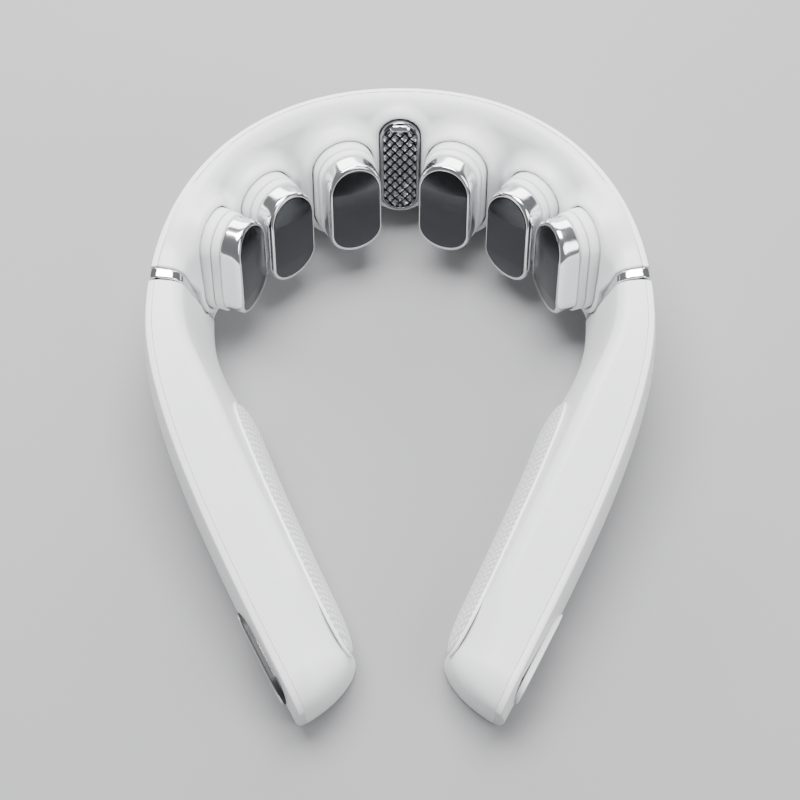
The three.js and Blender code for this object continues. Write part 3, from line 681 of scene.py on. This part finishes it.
def place_section(run, outline, rake=0.0, bevel=0.0):
    """Section points (inset, height) as places on the left, with the casing's rake and bevel."""
    point, along, height = rim_at(np.array(run))
    inset, z = np.asarray(outline, float).T
    shift = bevel * np.maximum(PIN_INSET - inset, 0) - rake * (1 - z / height)
    inward = np.array([-along[1], along[0]])
    plan = point + inset[:, None] * inward + shift[:, None] * along
    return np.column_stack([plan, z])


def wall_points(section, levels, depth=0.0):
    return [(float(section.outer(z)) + depth, z) for z in levels]


def strip_profile(run):
    """The outer casing's closed section: foot, rounded corner, bulged wall, bevelled strip and its inside.

    The strip is what starts at the STRIP_ROWS points.
    """
    section = Section(np.array(run, float))
    height, foot = float(section.height), float(section.foot)
    reach = min(foot + FOOT_LAP, float(section.inner(0)) - 0.6)
    corner = (float(section.outer(FOOT_RADIUS)) + FOOT_RADIUS, FOOT_RADIUS)
    ledge = min(STRIP, float(section.inner(height)) - 0.25)
    shoulder = height - STRIP_DROP
    edge = float(section.outer(shoulder))
    lip = 0.22
    outline = [(reach, 0)]
    outline += arc(corner, FOOT_RADIUS, 270, 180, CORNER_POINTS)
    outline += wall_points(section, np.linspace(FOOT_RADIUS, shoulder - lip, WALL_LEVELS)[1:])
    slope = np.array([ledge - edge, STRIP_DROP]) / math.hypot(ledge - edge, STRIP_DROP)
    outline += [tuple(slope * lip + (edge, shoulder)), tuple(slope * -lip + (ledge, height))]
    outline += [(ledge - lip * 0.2, height - 0.02), (ledge, height - lip), (ledge, height - WALL)]
    inside = wall_points(section, np.linspace(height - WALL, WALL, 10), WALL) + [(reach, WALL)]
    return outline + filled(section, inside, run, min(ledge, reach))


def casing_skin(name, rings, finishes, strip=()):
    """A skin through the rings, with the second finish on the faces between the strip's points; given the
    wall and rim finishes, these carry painted shade on the wall and a painted highlight on the strip.
    """
    points, faces = skin(rings)
    faces = outward(points, faces)
    count = len(rings[0])
    painted_light_marks = [int(len(face) == 4 and min(corner % count for corner in face) in strip) for face in faces]
    return make_object(name, points, faces, finishes, face_material=painted_light_marks)


def arm_rings(profile, runs):
    return [place_section(run, profile(run), **arm_shape(run)) for run in runs]


def filled(section, inside, run, reach):
    """The inside points, closed up on the seam near the arm's tip, where the casing is solid."""
    share = min(max((run - RIM_LENGTH + SOLID_TIP + 3) / 3, 0), 1)
    return [(x + (min(float(seam_inset(section, z)), max(reach, 0.3)) - x) * share, z) for x, z in inside]


def arm_shape(run):
    """The arm's end follows the ring's raked side, bevelled outside the hinge."""
    past = run - RING_END
    bevel = ARM_BEVEL if past < 1 else 0.0
    return {"rake": RING_RAKE * max(1 - max(past - 3, 0) / 22, 0), "bevel": bevel}


def arm_profile(run):
    """The arm's inner casing: top face, rounded edge, leaning wall and underside, and its inside."""
    section = Section(np.array(run, float))
    height = float(section.height)
    lean = float(section.lean)

    def loop(depth):
        top = float(section.inner(height - depth)) - depth
        start = STRIP + SEAM if depth == 0 else STRIP + depth
        start = min(start, top - 0.15)
        near_tip = min(max((run - RIM_LENGTH + 40) / 30, 0), 1)
        crown = float(section.crown) + TIP_CROWN * near_tip**2 * (3 - 2 * near_tip)
        radius = min(crown - depth, (top - start) * 0.92)
        radius = max(radius, 0.1)
        bend = (top - radius * (1 - math.sin(lean)) / math.cos(lean), height - depth - radius)
        low = max(float(section.heel) - depth, 0.8) + depth
        base = float(section.inner(low)) - depth
        seam = min(float(section.foot) + FOOT_LAP + SEAM, base - 0.6)
        points = [(start, height - depth)]
        points += [(start + (bend[0] - start) * s, height - depth) for s in (0.25, 0.5, 0.75)]
        points += arc(bend, radius, 90, math.degrees(lean), 12)
        tail = points[-1]
        points += [(tail[0] + (base - tail[0]) * s, tail[1] + (low - tail[1]) * s)
                   for s in np.linspace(0, 1, 9)[1:]]
        flat = min((low - depth) * HEEL_SHARE, (base - seam) * 0.8)
        for turn in np.radians(range(10, 91, 10)):
            points.append((base - flat * (1 - math.cos(turn)), low - (low - depth) * math.sin(turn)))
        return points + [(seam, depth)]

    outer = loop(0)
    reach = max(min(STRIP, outer[0][0] - 0.05), 0.3)
    return outer + filled(section, loop(WALL)[::-1], run, reach)


def ring_distance(points):
    """A chrome band with raked sides, a little under the casing's skin, cut back round the outer boss."""
    x, y, z = points[..., 0], points[..., 1], points[..., 2]
    run, inset = rim_coordinates(x, y)
    section = Section(run)
    shape = casing_distance(section, inset, z, RING_UNDER)
    arm_side = RING_END - GAP - RING_RAKE * (1 - z / section.height)
    band = round_inside(shape, run - arm_side, 0.5)
    band = round_inside(band, RING_START + GAP - run, 0.5)
    strip = (z - section.height + RING_UNDER + (STRIP_DROP / STRIP) * (STRIP - inset)) * 0.86
    band = round_inside(band, strip, 0.25)
    u, v, w = in_frame(points, head_frame("outer"))
    boss = np.maximum(boss_side(HEADS["outer"], u, v, w, BOSS_ROOM), w)
    return round_inside(band, -boss, 0.3)


def build_casing():
    """The nape's two casings, the rings and the arms' casings."""
    points, faces = surface_net(cover_distance, (-80, 14, -1), (0, 99, 52), COVER_STEP, symmetric=True)
    cover = make_object("centre_cover", points, faces, ["casing"], smooth_angle=0)
    install(cover, "centre", "centre_inner_cover")

    left = [place_section(run, strip_profile(run)) for run in np.linspace(0, RING_START - SEAM, 110)]
    right = [ring * (-1, 1, 1) for ring in left[:0:-1]]
    shell = casing_skin("nape_shell", right + left, ["wall", "rim"], STRIP_ROWS)
    install(shell, "centre", "centre_outer_shell")

    points, faces = surface_net(ring_distance, (-84, 10, -1), (-52, 38, 49), RING_STEP)
    ring = make_object("ring_left", points, faces, ["chrome"], smooth_angle=0)
    install_pair(ring, "ring_right", "centre", "ring_left")

    start = RING_END + ARM_GAP
    runs = [start, start + 0.6, start + 1.2, start + 2.4, *np.linspace(start + 4, RIM_LENGTH - 11.5, 76)]
    runs += list(RIM_LENGTH - TIP_LENGTH * (1 - np.cos(np.linspace(math.pi / 2, 0.1, 30))))
    outer = casing_skin("arm_shell_left", arm_rings(strip_profile, runs), ["wall", "rim"], STRIP_ROWS)
    inner = casing_skin("arm_cover_left", arm_rings(arm_profile, runs), ["casing"])
    boolean(outer, control_pocket())
    boolean(inner, outer_boss_tool())
    right_outer, right_inner = mirrored(outer, "arm_shell_right"), mirrored(inner, "arm_cover_right")
    boolean(right_inner, port_tool())
    for side, shell, cover in (("left", outer, inner), ("right", right_outer, right_inner)):
        install(shell, f"arm_{side}", f"arm_outer_shell_{side}")
        install(cover, f"arm_{side}", f"arm_inner_shell_{side}")


# ---- round-ended pieces


def pill_outline(width, height, segments=28):
    """Points of a round-ended outline, upright where it is taller than it is wide."""
    radius = min(width, height) / 2
    reach = np.array([max(width - height, 0), max(height - width, 0)]) / 2
    first = 0 if width < height else -90
    ends = [arc(reach * sign, radius, first + turn, first + turn + 180, segments)
            for sign, turn in ((1, 0), (-1, 180))]
    return np.array(ends[0] + ends[1])


def pill_rings(levels, segments=28):
    """Rings of a round-ended block from (width, height, depth) levels, or with a height for each point."""
    rings = []
    for width, height, level in levels:
        outline = pill_outline(max(width, 0.02), height, segments)
        depth = level(outline[:, 0], outline[:, 1]) if callable(level) else np.full(len(outline), level)
        rings.append(np.column_stack([outline, depth]))
    return rings


def to_place(points, place):
    origin, axes = place
    return origin + np.asarray(points) @ np.array(axes)


def pill_piece(name, levels, place, finishes=(), segments=28, smooth_angle=35):
    points, faces = skin(pill_rings(levels, segments))
    faces = outward(points, faces)
    return make_object(name, to_place(points, place), faces, finishes, smooth_angle)


def narrowed(wide, tall, *steps):
    """Levels of an outline made narrower by the first of each pair, at the depth of the second."""
    return [(wide - less, tall - less, depth) for less, depth in steps]


def quarter(count):
    """Shares of a quarter round from straight up to flat, for a shoulder."""
    return [(1 - math.cos(a), math.sin(a)) for a in np.linspace(0, math.pi / 2, count)]


def face_height(x, y):
    """The contact face's crown: it falls away to both ends, and a little to its sides."""
    return -FACE_SAG * (2 * y / FACE_HEIGHT) ** 2 - 0.35 * (2 * x / FACE_WIDTH) ** 2


def below_face(depth):
    return lambda x, y: face_height(x, y) - depth


def cap_levels():
    """A cap's straight side, rounded shoulder and the lip that holds its dark face."""
    back, start, rise = -CAP_DEPTH, -FACE_SAG - 1.9, FACE_SAG + 1.55
    levels = narrowed(CAP_WIDTH, CAP_HEIGHT, (2.4, back), (0.4, back), (0.1, back + 0.12), (0, back + 0.4))
    levels += [(CAP_WIDTH, CAP_HEIGHT, depth) for depth in np.linspace(back + 0.8, start, 4)]
    inset = CAP_WIDTH - FACE_WIDTH - 0.35
    fall = CAP_HEIGHT - FACE_HEIGHT - 0.35

    def shoulder(share):
        return lambda x, y: start + rise * share + (face_height(x, y) + 0.35) * share**2

    levels += [(CAP_WIDTH - inset * across, CAP_HEIGHT - fall * across, shoulder(up))
               for across, up in quarter(9)[1:]]
    return levels + narrowed(FACE_WIDTH, FACE_HEIGHT, (-0.12, below_face(0.06)), (-0.12, below_face(0.5)))


def build_head(name):
    """One head and its mirror image: soft neck, step, stem, chrome cap and dark face."""
    place = head_frame(name)
    back, mouth = -SLEEVE_DEPTH, -BASE_DEPTH - GAP
    sleeve = band_piece(f"neck_{name}", narrowed(
        SLEEVE_WIDTH, SLEEVE_HEIGHT, (3.4, back), (0.4, back), (0, back + 0.3), (0, mouth - 0.9),
        (0.15, mouth - 0.4), (0.6, mouth - 0.08), (1.1, mouth), (3.4, mouth), (3.4, mouth - 0.6),
    ), place, ["soft"], smooth_angle=50)

    back, front = -BASE_DEPTH, -CAP_DEPTH - 0.12
    base = pill_piece(f"base_{name}", narrowed(
        BASE_WIDTH, BASE_HEIGHT, (2.4, back), (0.5, back), (0.1, back + 0.2), (0, back + 0.5),
        (0, front - 0.5), (0.15, front - 0.15), (0.6, front), (3, front),
    ), place, ["soft"], smooth_angle=50)

    cap = pill_piece(f"cap_{name}", cap_levels(), place, ["chrome"], smooth_angle=60)
    crown = [(less, face_height) for less in np.linspace(0.6, FACE_WIDTH - 0.05, 16)]
    face = pill_piece(f"face_{name}", narrowed(
        FACE_WIDTH, FACE_HEIGHT, (0.04, below_face(0.45)), (0.04, below_face(0.14)),
        (0.24, below_face(0.02)), *crown,
    ), place, ["dark mirror"], segments=40, smooth_angle=40)

    stem_levels = narrowed(STEM_WIDTH, STEM_WIDTH, (0.4, -24), (0, -23.8), (0, -BASE_DEPTH))
    stem = pill_piece(f"stem_{name}", stem_levels, place, ["soft"])

    parts = [(sleeve, "sleeve", "soft"), (base, "carrier", "soft"), (stem, "carrier", "soft"),
             (cap, "cap", "chrome"), (face, "cap", "chrome")]
    for piece, node_kind, slot in parts:
        node_name = f"head_{node_kind}_{name}_left"
        install_pair(piece, f"{piece.name}_right", f"head_{name}_left", node_name)


def band_piece(name, levels, place, finishes, smooth_angle=35):
    """A ring round a hole, whose section is the loop of levels."""
    points, faces = skin(pill_rings(levels), loop=True)
    faces = outward(points, faces)
    return make_object(name, to_place(points, place), faces, finishes, smooth_angle)


# ---- tools that cut

def control_place():
    """The frame of the control on the left arm: x along the rim, y up and z out of the wall."""
    point, along, _ = rim_at(np.array(RIM_LENGTH - CONTROL_BACK))
    inward = np.array([-along[1], along[0], 0])
    out = -inward
    level = np.cross((0, 0, 1), out)
    tilt = math.radians(CONTROL_TILT)
    up = np.array([0, 0, math.cos(tilt)]) + math.sin(tilt) * out
    inset = float(Section(np.array(RIM_LENGTH - CONTROL_BACK)).outer(CONTROL_Z))
    origin = np.array([*point, CONTROL_Z]) + inward * inset
    return origin, (level, up, np.cross(level, up))


def control_pocket():
    levels = [(CONTROL_WIDTH + POCKET_ROOM, CONTROL_HEIGHT + POCKET_ROOM, z) for z in (-5, 5)]
    return pill_piece("pocket", levels, control_place())


def outer_boss_tool():
    room, root = BOSS_ROOM, HEADS["outer"]["root"]
    levels = [(BOSS_WIDTH + room, BOSS_HEIGHT + room, z) for z in (-30, -root)]
    levels += [(LIP_WIDTH + room, LIP_HEIGHT + room, z) for z in (-LIP_DEPTH, 0)]
    return pill_piece("boss_space", levels, head_frame("outer"))


def port_place():
    """The charging socket's frame on the right arm: z points down out of the underside."""
    point, along, _ = rim_at(np.array(RIM_LENGTH - PORT_BACK))
    along = np.array([-along[0], along[1], 0])
    inward = np.array([-along[1], along[0], 0]) * -1
    origin = np.array([-point[0], point[1], 0]) + inward * PORT_INSET
    return origin, (along, inward, np.cross(along, inward))


def port_tool():
    levels = [(PORT_WIDTH + POCKET_ROOM, PORT_HEIGHT + POCKET_ROOM, z) for z in (-9, 9)]
    return pill_piece("port_slot", levels, port_place())


# ---- heat plate


def knurl_solid(floor, low):
    """Rows of four-sided points on a thick base, wider than the plate, with the faces low in their pits
    marked for painted shade.
    """
    points, faces, painted_light_marks, seen = [], [], [], {}

    def point(u, v, z):
        key = (round(u * 2), round(v * 2), z)
        if key not in seen:
            seen[key] = len(points)
            points.append((KNURL_WIDE * (u + v) / 2, KNURL_TALL * (u - v) / 2, z))
        return seen[key]

    reach = range(-11, 11)
    cells = [(i, j) for i in reach for j in reach
             if abs(i + j + 1) * KNURL_WIDE / 2 < PILL_WIDTH
             and abs(i - j) * KNURL_TALL / 2 < PILL_HEIGHT * 0.62]
    kept = set(cells)
    for i, j in cells:
        ring = [(i, j), (i + 1, j), (i + 1, j + 1), (i, j + 1)]
        apex = point(i + 0.5, j + 0.5, floor + KNURL_HEIGHT)
        steps = [(0, -1), (1, 0), (0, 1), (-1, 0)]
        # Shoulders part of the way up each point: the faces below them take the dark finish, painted shade
        # in the pit.
        shoulders = []
        for u, v in ring:
            foot, top = np.array(points[point(u, v, floor)]), np.array(points[apex])
            shoulders.append(len(points))
            points.append(tuple(foot + (top - foot) * PIT_SHADE_SHARE))
        for k, (di, dj) in enumerate(steps):
            a, b = ring[k], ring[(k + 1) % 4]
            here, there = shoulders[k], shoulders[(k + 1) % 4]
            faces += [(there, here, apex), (point(*b, floor), point(*a, floor), here, there)]
            painted_light_marks += [0, 1]
            if (i + di, j + dj) not in kept:
                faces.append((point(*a, floor), point(*b, floor), point(*b, low), point(*a, low)))
                painted_light_marks.append(1)
        faces.append(tuple(point(*corner, low) for corner in ring))
        painted_light_marks.append(1)
    return np.array(points), faces, painted_light_marks


def build_heat_plate():
    wide, tall = PILL_WIDTH, PILL_HEIGHT
    rim_top = PILL_PROUD - 0.95
    bottom = rim_top - PLATE_DEPTH

    def sagged(level):
        return lambda x, y: level - PLATE_SAG * (2 * y / tall) ** 2

    inner_wide, inner_tall = wide - 2 * PLATE_BORDER, tall - 2 * PLATE_BORDER
    edge = [(1.3 * across, sagged(rim_top - 1 + up)) for across, up in quarter(7)]
    levels = narrowed(wide, tall, (0.6, -2.8), (0, -2.5), (0, 1.5), *edge)
    levels += narrowed(inner_wide, inner_tall, (-0.2, sagged(rim_top)), (0, sagged(rim_top - 0.15)),
                       (0, sagged(bottom)), (4, sagged(bottom)))
    plate = pill_piece("heat_plate", levels, PILL_FRAME, ["plate"], smooth_angle=50)
    install(plate, "centre", "heat_plate")

    floor = rim_top - 1.2
    points, faces, painted_light_marks = knurl_solid(floor, floor - 1.2)
    faces = outward(points, faces)
    points = to_place(points, PILL_FRAME)
    # The knurl's second finish is painted shade on its lower faces.
    knurl = make_object("heat_plate_knurl", points, faces, ["knurl", "painted_pit_shade"], 5, painted_light_marks)
    levels = narrowed(inner_wide, inner_tall, (0.1, -4), (0.1, 9))
    boolean(knurl, pill_piece("knurl_edge", levels, PILL_FRAME), "INTERSECT")
    knurl.data.polygons.foreach_set("use_smooth", np.zeros(len(knurl.data.polygons), bool))
    sag_mesh(knurl, PILL_FRAME, PLATE_SAG, tall)
    install(knurl, "centre", "heat_plate")

    level, up, out = PILL_FRAME[1]
    tilt = math.radians(PLATE_END_TILT)
    facing = out * math.cos(tilt) + up * math.sin(tilt)
    rise = np.cross(facing, level)
    place = (PILL_FRAME[0] + up * (tall / 2 - 1.9) + out * (rim_top - 0.9), (level, rise, facing))
    dome = [(0.3 + s, 0.35 + 0.5 * s / 2.4) for s in (0.4, 1, 1.7, 2.35)]
    levels = narrowed(PLATE_END_WIDTH, PLATE_END_HEIGHT, (0, -1.2), (0, 0.1), (0.3, 0.35), *dome)
    cap = pill_piece("heat_plate_end", levels, place, ["chrome"], smooth_angle=60)
    install(cap, "centre", "heat_plate")


def sag_mesh(piece, place, sag, length):
    """Bends a piece back towards its ends, as its plate is."""
    origin, (_, up, out) = place
    origin = origin + np.array([0, SHIFT_Y, 0])
    count = len(piece.data.vertices)
    points = np.empty(count * 3)
    piece.data.vertices.foreach_get("co", points)
    points = points.reshape(-1, 3) / MM
    y = (points - origin) @ up
    points = points - (sag * (2 * y / length) ** 2)[:, None] * out
    piece.data.vertices.foreach_set("co", (points * MM).ravel())
    piece.data.update()


# ---- pads


def pad_outline(share):
    """The pad's half-size there, where share runs from one end to the other."""
    from_end = np.minimum(share, 1 - share) * (PAD_END - PAD_START) / PAD_EASE
    near = np.clip(from_end, 0, 1)
    return np.sqrt(np.clip(1 - (1 - near) ** 2, 0, 1))


def pad_point(share, across, lift):
    """A place on the pad: share along it, across from -1 (foot) to 1 (top), and lift off the arm's wall."""
    run = PAD_START + (PAD_END - PAD_START) * share
    section = Section(np.array(run))
    middle, half = (PAD_FOOT + PAD_TOP) / 2, (PAD_TOP - PAD_FOOT) / 2
    z = middle + half * across * pad_outline(share)
    inset = float(section.inner(z)) + lift
    return place_section(run, [(inset, z)], **arm_shape(run))[0]


def build_pads():
    """A knit-covered foam pad with a piped edge on each arm's inner wall."""
    along = 0.5 - 0.5 * np.cos(np.linspace(0.02, math.pi - 0.02, 150))
    around = np.linspace(-1, 1, 37)
    rings = []
    for share in along:
        swell = float(pad_outline(share))
        ring = []
        for across in around:
            crown = (1 - abs(across) ** 2.6) ** 0.62 * swell**0.8
            pucker = 0.05 * math.sin(share * 260 + across * 3) * abs(across) ** 6
            lift = PAD_BASE + (PAD_PROUD - 0.3) * crown + pucker
            ring.append(pad_point(share, across * 0.985, lift))
        ring += [pad_point(share, across * 0.985, 0.2) for across in around[::-1]]
        rings.append(ring)
    points, faces = skin(rings)
    faces = outward(points, faces)
    pad = make_object("pad_left", points, faces, ["knit"], smooth_angle=0)
    right = mirrored(pad, "pad_right")
    for piece, side in ((pad, "left"), (right, "right")):
        install(piece, f"arm_{side}", f"arm_pad_{side}")

    edge = [pad_point(share, 1, PAD_BASE) for share in along]
    edge += [pad_point(share, -1, PAD_BASE) for share in along[::-1]]
    piping = tube("piping_left", np.array(edge), PIPING_RADIUS, ["piping"])
    install_pair(piping, "piping_right", "arm_left", "arm_pad_left")


def tube(name, path, radius, finishes, sides=10):
    """A closed round cord along a loop of points."""
    ahead = np.roll(path, -1, axis=0) - np.roll(path, 1, axis=0)
    ahead /= np.linalg.norm(ahead, axis=1)[:, None]
    middle = path.mean(axis=0)
    out = path - middle
    out -= (out * ahead).sum(1)[:, None] * ahead
    out /= np.linalg.norm(out, axis=1)[:, None]
    side = np.cross(ahead, out)
    rings = []
    for k in range(sides):
        angle = 2 * math.pi * k / sides
        rings.append(path + radius * (math.cos(angle) * out + math.sin(angle) * side))
    rings = np.stack(rings, 1)
    points, faces = skin(rings, loop=True)
    return make_object(name, points, outward(points, faces), finishes, smooth_angle=0)


# ---- control, speaker and socket


def build_control():
    place = control_place()
    wide, tall = CONTROL_WIDTH, CONTROL_HEIGHT
    gasket = band_piece("control_gasket", narrowed(
        wide, tall, (-0.75, -1.4), (-0.75, -0.05), (-0.5, 0.12), (-0.2, 0.12), (0.05, -0.1), (0.05, -1.4),
    ), place, ["gasket"])
    inner_wide, inner_tall = ROCKER_WIDTH + 0.9, ROCKER_HEIGHT + 0.9
    levels = narrowed(wide, tall, (0.1, -3), (0.1, 0.25), (0.4, 0.55), (0.9, 0.68), (1.6, 0.62))
    levels += narrowed(inner_wide, inner_tall, (-0.6, 0.35), (-0.1, 0.1), (0, -0.3), (0, -1.6), (-0.8, -3))
    bezel = band_piece("control_bezel", levels, place, ["chrome"], smooth_angle=60)
    levels = narrowed(inner_wide, inner_tall, (-1, -2.6), (-1, -1.5))
    floor = pill_piece("control_floor", levels, place, ["gasket"])
    for piece in (gasket, bezel, floor):
        install(piece, "arm_left", "control_bezel")

    hole = 2 * BUTTON_RADIUS + 0.5
    dish = [(ROCKER_WIDTH - 0.5 - s * (ROCKER_WIDTH - 1 - hole),
             ROCKER_HEIGHT - 0.5 - s * (ROCKER_HEIGHT - 1 - hole),
             0.58 - 0.42 * math.sin(math.pi / 2 * s)) for s in np.linspace(0, 1, 9)]
    levels = narrowed(ROCKER_WIDTH, ROCKER_HEIGHT, (0.1, -0.7), (0, -0.5), (0, 0.4), (0.15, 0.52)) + dish
    levels += [(hole, hole, 0.0), (hole, hole, -0.7)]
    rocker = band_piece("rocker", levels, place, ["silver"], smooth_angle=60)
    install(rocker, "rocker", "control_rocker")

    size = 2 * BUTTON_RADIUS
    levels = narrowed(size, size, (0.6, -0.7), (0, -0.6), (0, 0.45), (0.2, 0.66), (0.7, 0.75), (2, 0.68),
                      (3.6, 0.6), (5.2, 0.56))
    button = pill_piece("power_button", levels, place, ["silver"], smooth_angle=60)
    install(button, "button", "power_button")

    origin, (level, up, out) = place
    bar, upright = (MARK_LENGTH, MARK_WIDTH), (MARK_WIDTH, MARK_LENGTH)
    for offset, (wide, tall) in ((-MARK_OFFSET, bar), (MARK_OFFSET, bar), (MARK_OFFSET, upright)):
        spot = (origin + level * offset + out * 0.36, (level, up, out))
        mark = pill_piece("mark", [(wide, tall, z) for z in (-0.2, 0.06)], spot, ["gasket"], segments=6)
        install(mark, "rocker", "control_rocker")


def build_grille():
    """The speaker's oval inlay on the right arm, made on the left and mirrored."""
    place = control_place()
    wide, tall = CONTROL_WIDTH, CONTROL_HEIGHT
    edge = [(0.9 * across, 0.05 + 0.45 * up) for across, up in quarter(5)]
    crown = [(less, 0.5 + 0.12 * less / tall) for less in (2, 5, 9, 13)]
    levels = narrowed(wide, tall, (0.3, -1.5), (0, -1.3), (0, 0.05), *edge, *crown)
    grille = pill_piece("grille", levels, place, ["casing"])
    origin, (level, up, out) = place
    points, faces = [], []
    for offset in np.linspace(-SLOT_REACH, SLOT_REACH, SLOTS):
        spot = (origin + level * offset, (level, up, out))
        slot_height = SLOT_HEIGHT - abs(offset) * 0.12
        slot_points, slot_faces = skin(pill_rings([(SLOT_WIDTH, slot_height, z) for z in (-2, 2)], 8))
        faces += [tuple(c + len(points) for c in face) for face in outward(slot_points, slot_faces)]
        points += list(to_place(slot_points, spot))
    tool = make_object("slots", points, faces)
    boolean(grille, tool)
    right = mirrored(grille, "speaker_grille")
    bpy.data.objects.remove(grille)
    install(right, "arm_right", "speaker_grille")
    cloth = pill_piece("speaker_cloth", [(wide - 3, tall - 3, z) for z in (-1.9, -1.6)], place,
                       ["gasket"])
    dark = mirrored(cloth, "speaker_backing")
    bpy.data.objects.remove(cloth)
    install(dark, "arm_right", "speaker_grille")


def build_port():
    place = port_place()
    wide, tall, deep = PORT_WIDTH, PORT_HEIGHT, PORT_DEPTH
    levels = narrowed(wide, tall, (0, -deep), (0, -0.6), (0.2, -0.42), (0.8, -0.4), (1.2, -0.7),
                      (1.2, -deep + 1))
    shell = band_piece("socket", levels, place, ["steel"])
    back = pill_piece("socket_back", [(wide - 0.6, tall - 0.6, z) for z in (-deep, -deep + 1)], place,
                      ["gasket"])
    tongue = pill_piece("socket_tongue", [(wide - 4, 0.8, z) for z in (-deep + 1, -1.6, -1.4)], place,
                        ["gasket"], segments=6)
    for piece in (shell, back, tongue):
        install(piece, "arm_right", "charge_port")


def finish_carried_nodes():
    """The CAD pieces that stay, such as springs, screws and boards, take their slot's finish."""
    slots = {part["node"]: part["material_slot"] for part in frame["record"]["subparts"]}
    for name, piece in frame["nodes"].items():
        # Pieces in the CAD's rim slot take the wall's finish, so its painted shade too.
        finish = {"casing": "casing", "rim": "wall"}.get(slots[name], slots[name])
        piece.data.materials.clear()
        piece.data.materials.append(look[finish])


# ---- stage

TARGET = Vector((0, (VIEW_Y + SHIFT_Y) * MM, 0))


def aim(thing, target):
    thing.rotation_euler = (target - thing.location).to_track_quat("-Z", "Y").to_euler()


def build_camera():
    data = bpy.data.cameras.new("camera")
    data.lens = 85
    data.sensor_width = 36
    data.clip_start = 0.01
    camera = linked("camera", data)
    camera.location = TARGET + DISTANCE * Vector((0, -math.cos(ELEVATION), math.sin(ELEVATION)))
    aim(camera, TARGET)
    bpy.context.scene.camera = camera


def area_light(name, place, size, power, target=TARGET, tall=None):
    data = bpy.data.lights.new(name, "AREA")
    data.energy = power
    data.size = size
    if tall:
        data.shape = "RECTANGLE"
        data.size_y = tall
    light = linked(name, data)
    light.location = place
    aim(light, target)
    return light


def build_floor():
    """A pale sweep, big enough for every view."""
    rows = FLOOR_ROWS
    steps = np.linspace(-FLOOR_REACH, FLOOR_REACH, rows)
    points = [(x, y, 0) for y in steps for x in steps]
    faces = [(r * rows + c, r * rows + c + 1, (r + 1) * rows + c + 1, (r + 1) * rows + c)
             for r in range(rows - 1) for c in range(rows - 1)]
    mesh = bpy.data.meshes.new("floor")
    mesh.from_pydata(points, [], faces)
    floor = linked("floor", mesh)
    floor.location.z = -0.0002
    material, shader = new_material("floor", (0.27, 0.27, 0.277), 0.6)
    tinted(material, shader, noise(material, 4), (0.265, 0.265, 0.272), (0.275, 0.275, 0.282))
    mesh.materials.append(material)


def build_light():
    world = bpy.data.worlds.new("studio")
    bpy.context.scene.world = world
    world.use_nodes = True
    background = world.node_tree.nodes["Background"]
    background.inputs["Color"].default_value = (0.55, 0.56, 0.58, 1)
    background.inputs["Strength"].default_value = 0.35
    area_light("key", (-0.08, 0.33, 0.88), 0.75, 24, tall=0.45)
    area_light("rear", (0, 0.8, 0.34), 1.3, 14, tall=0.5)
    area_light("fill", (0.55, -0.35, 0.6), 0.5, 4)
    for side in (-1, 1):
        area_light("side", (side * 0.75, -0.15, 0.3), 0.6, 4, tall=0.35).visible_glossy = False


finish_carried_nodes()
build_casing()
for head_name in HEADS:
    build_head(head_name)
build_heat_plate()
build_pads()
build_control()
build_grille()
build_port()
build_floor()
build_light()
build_camera()
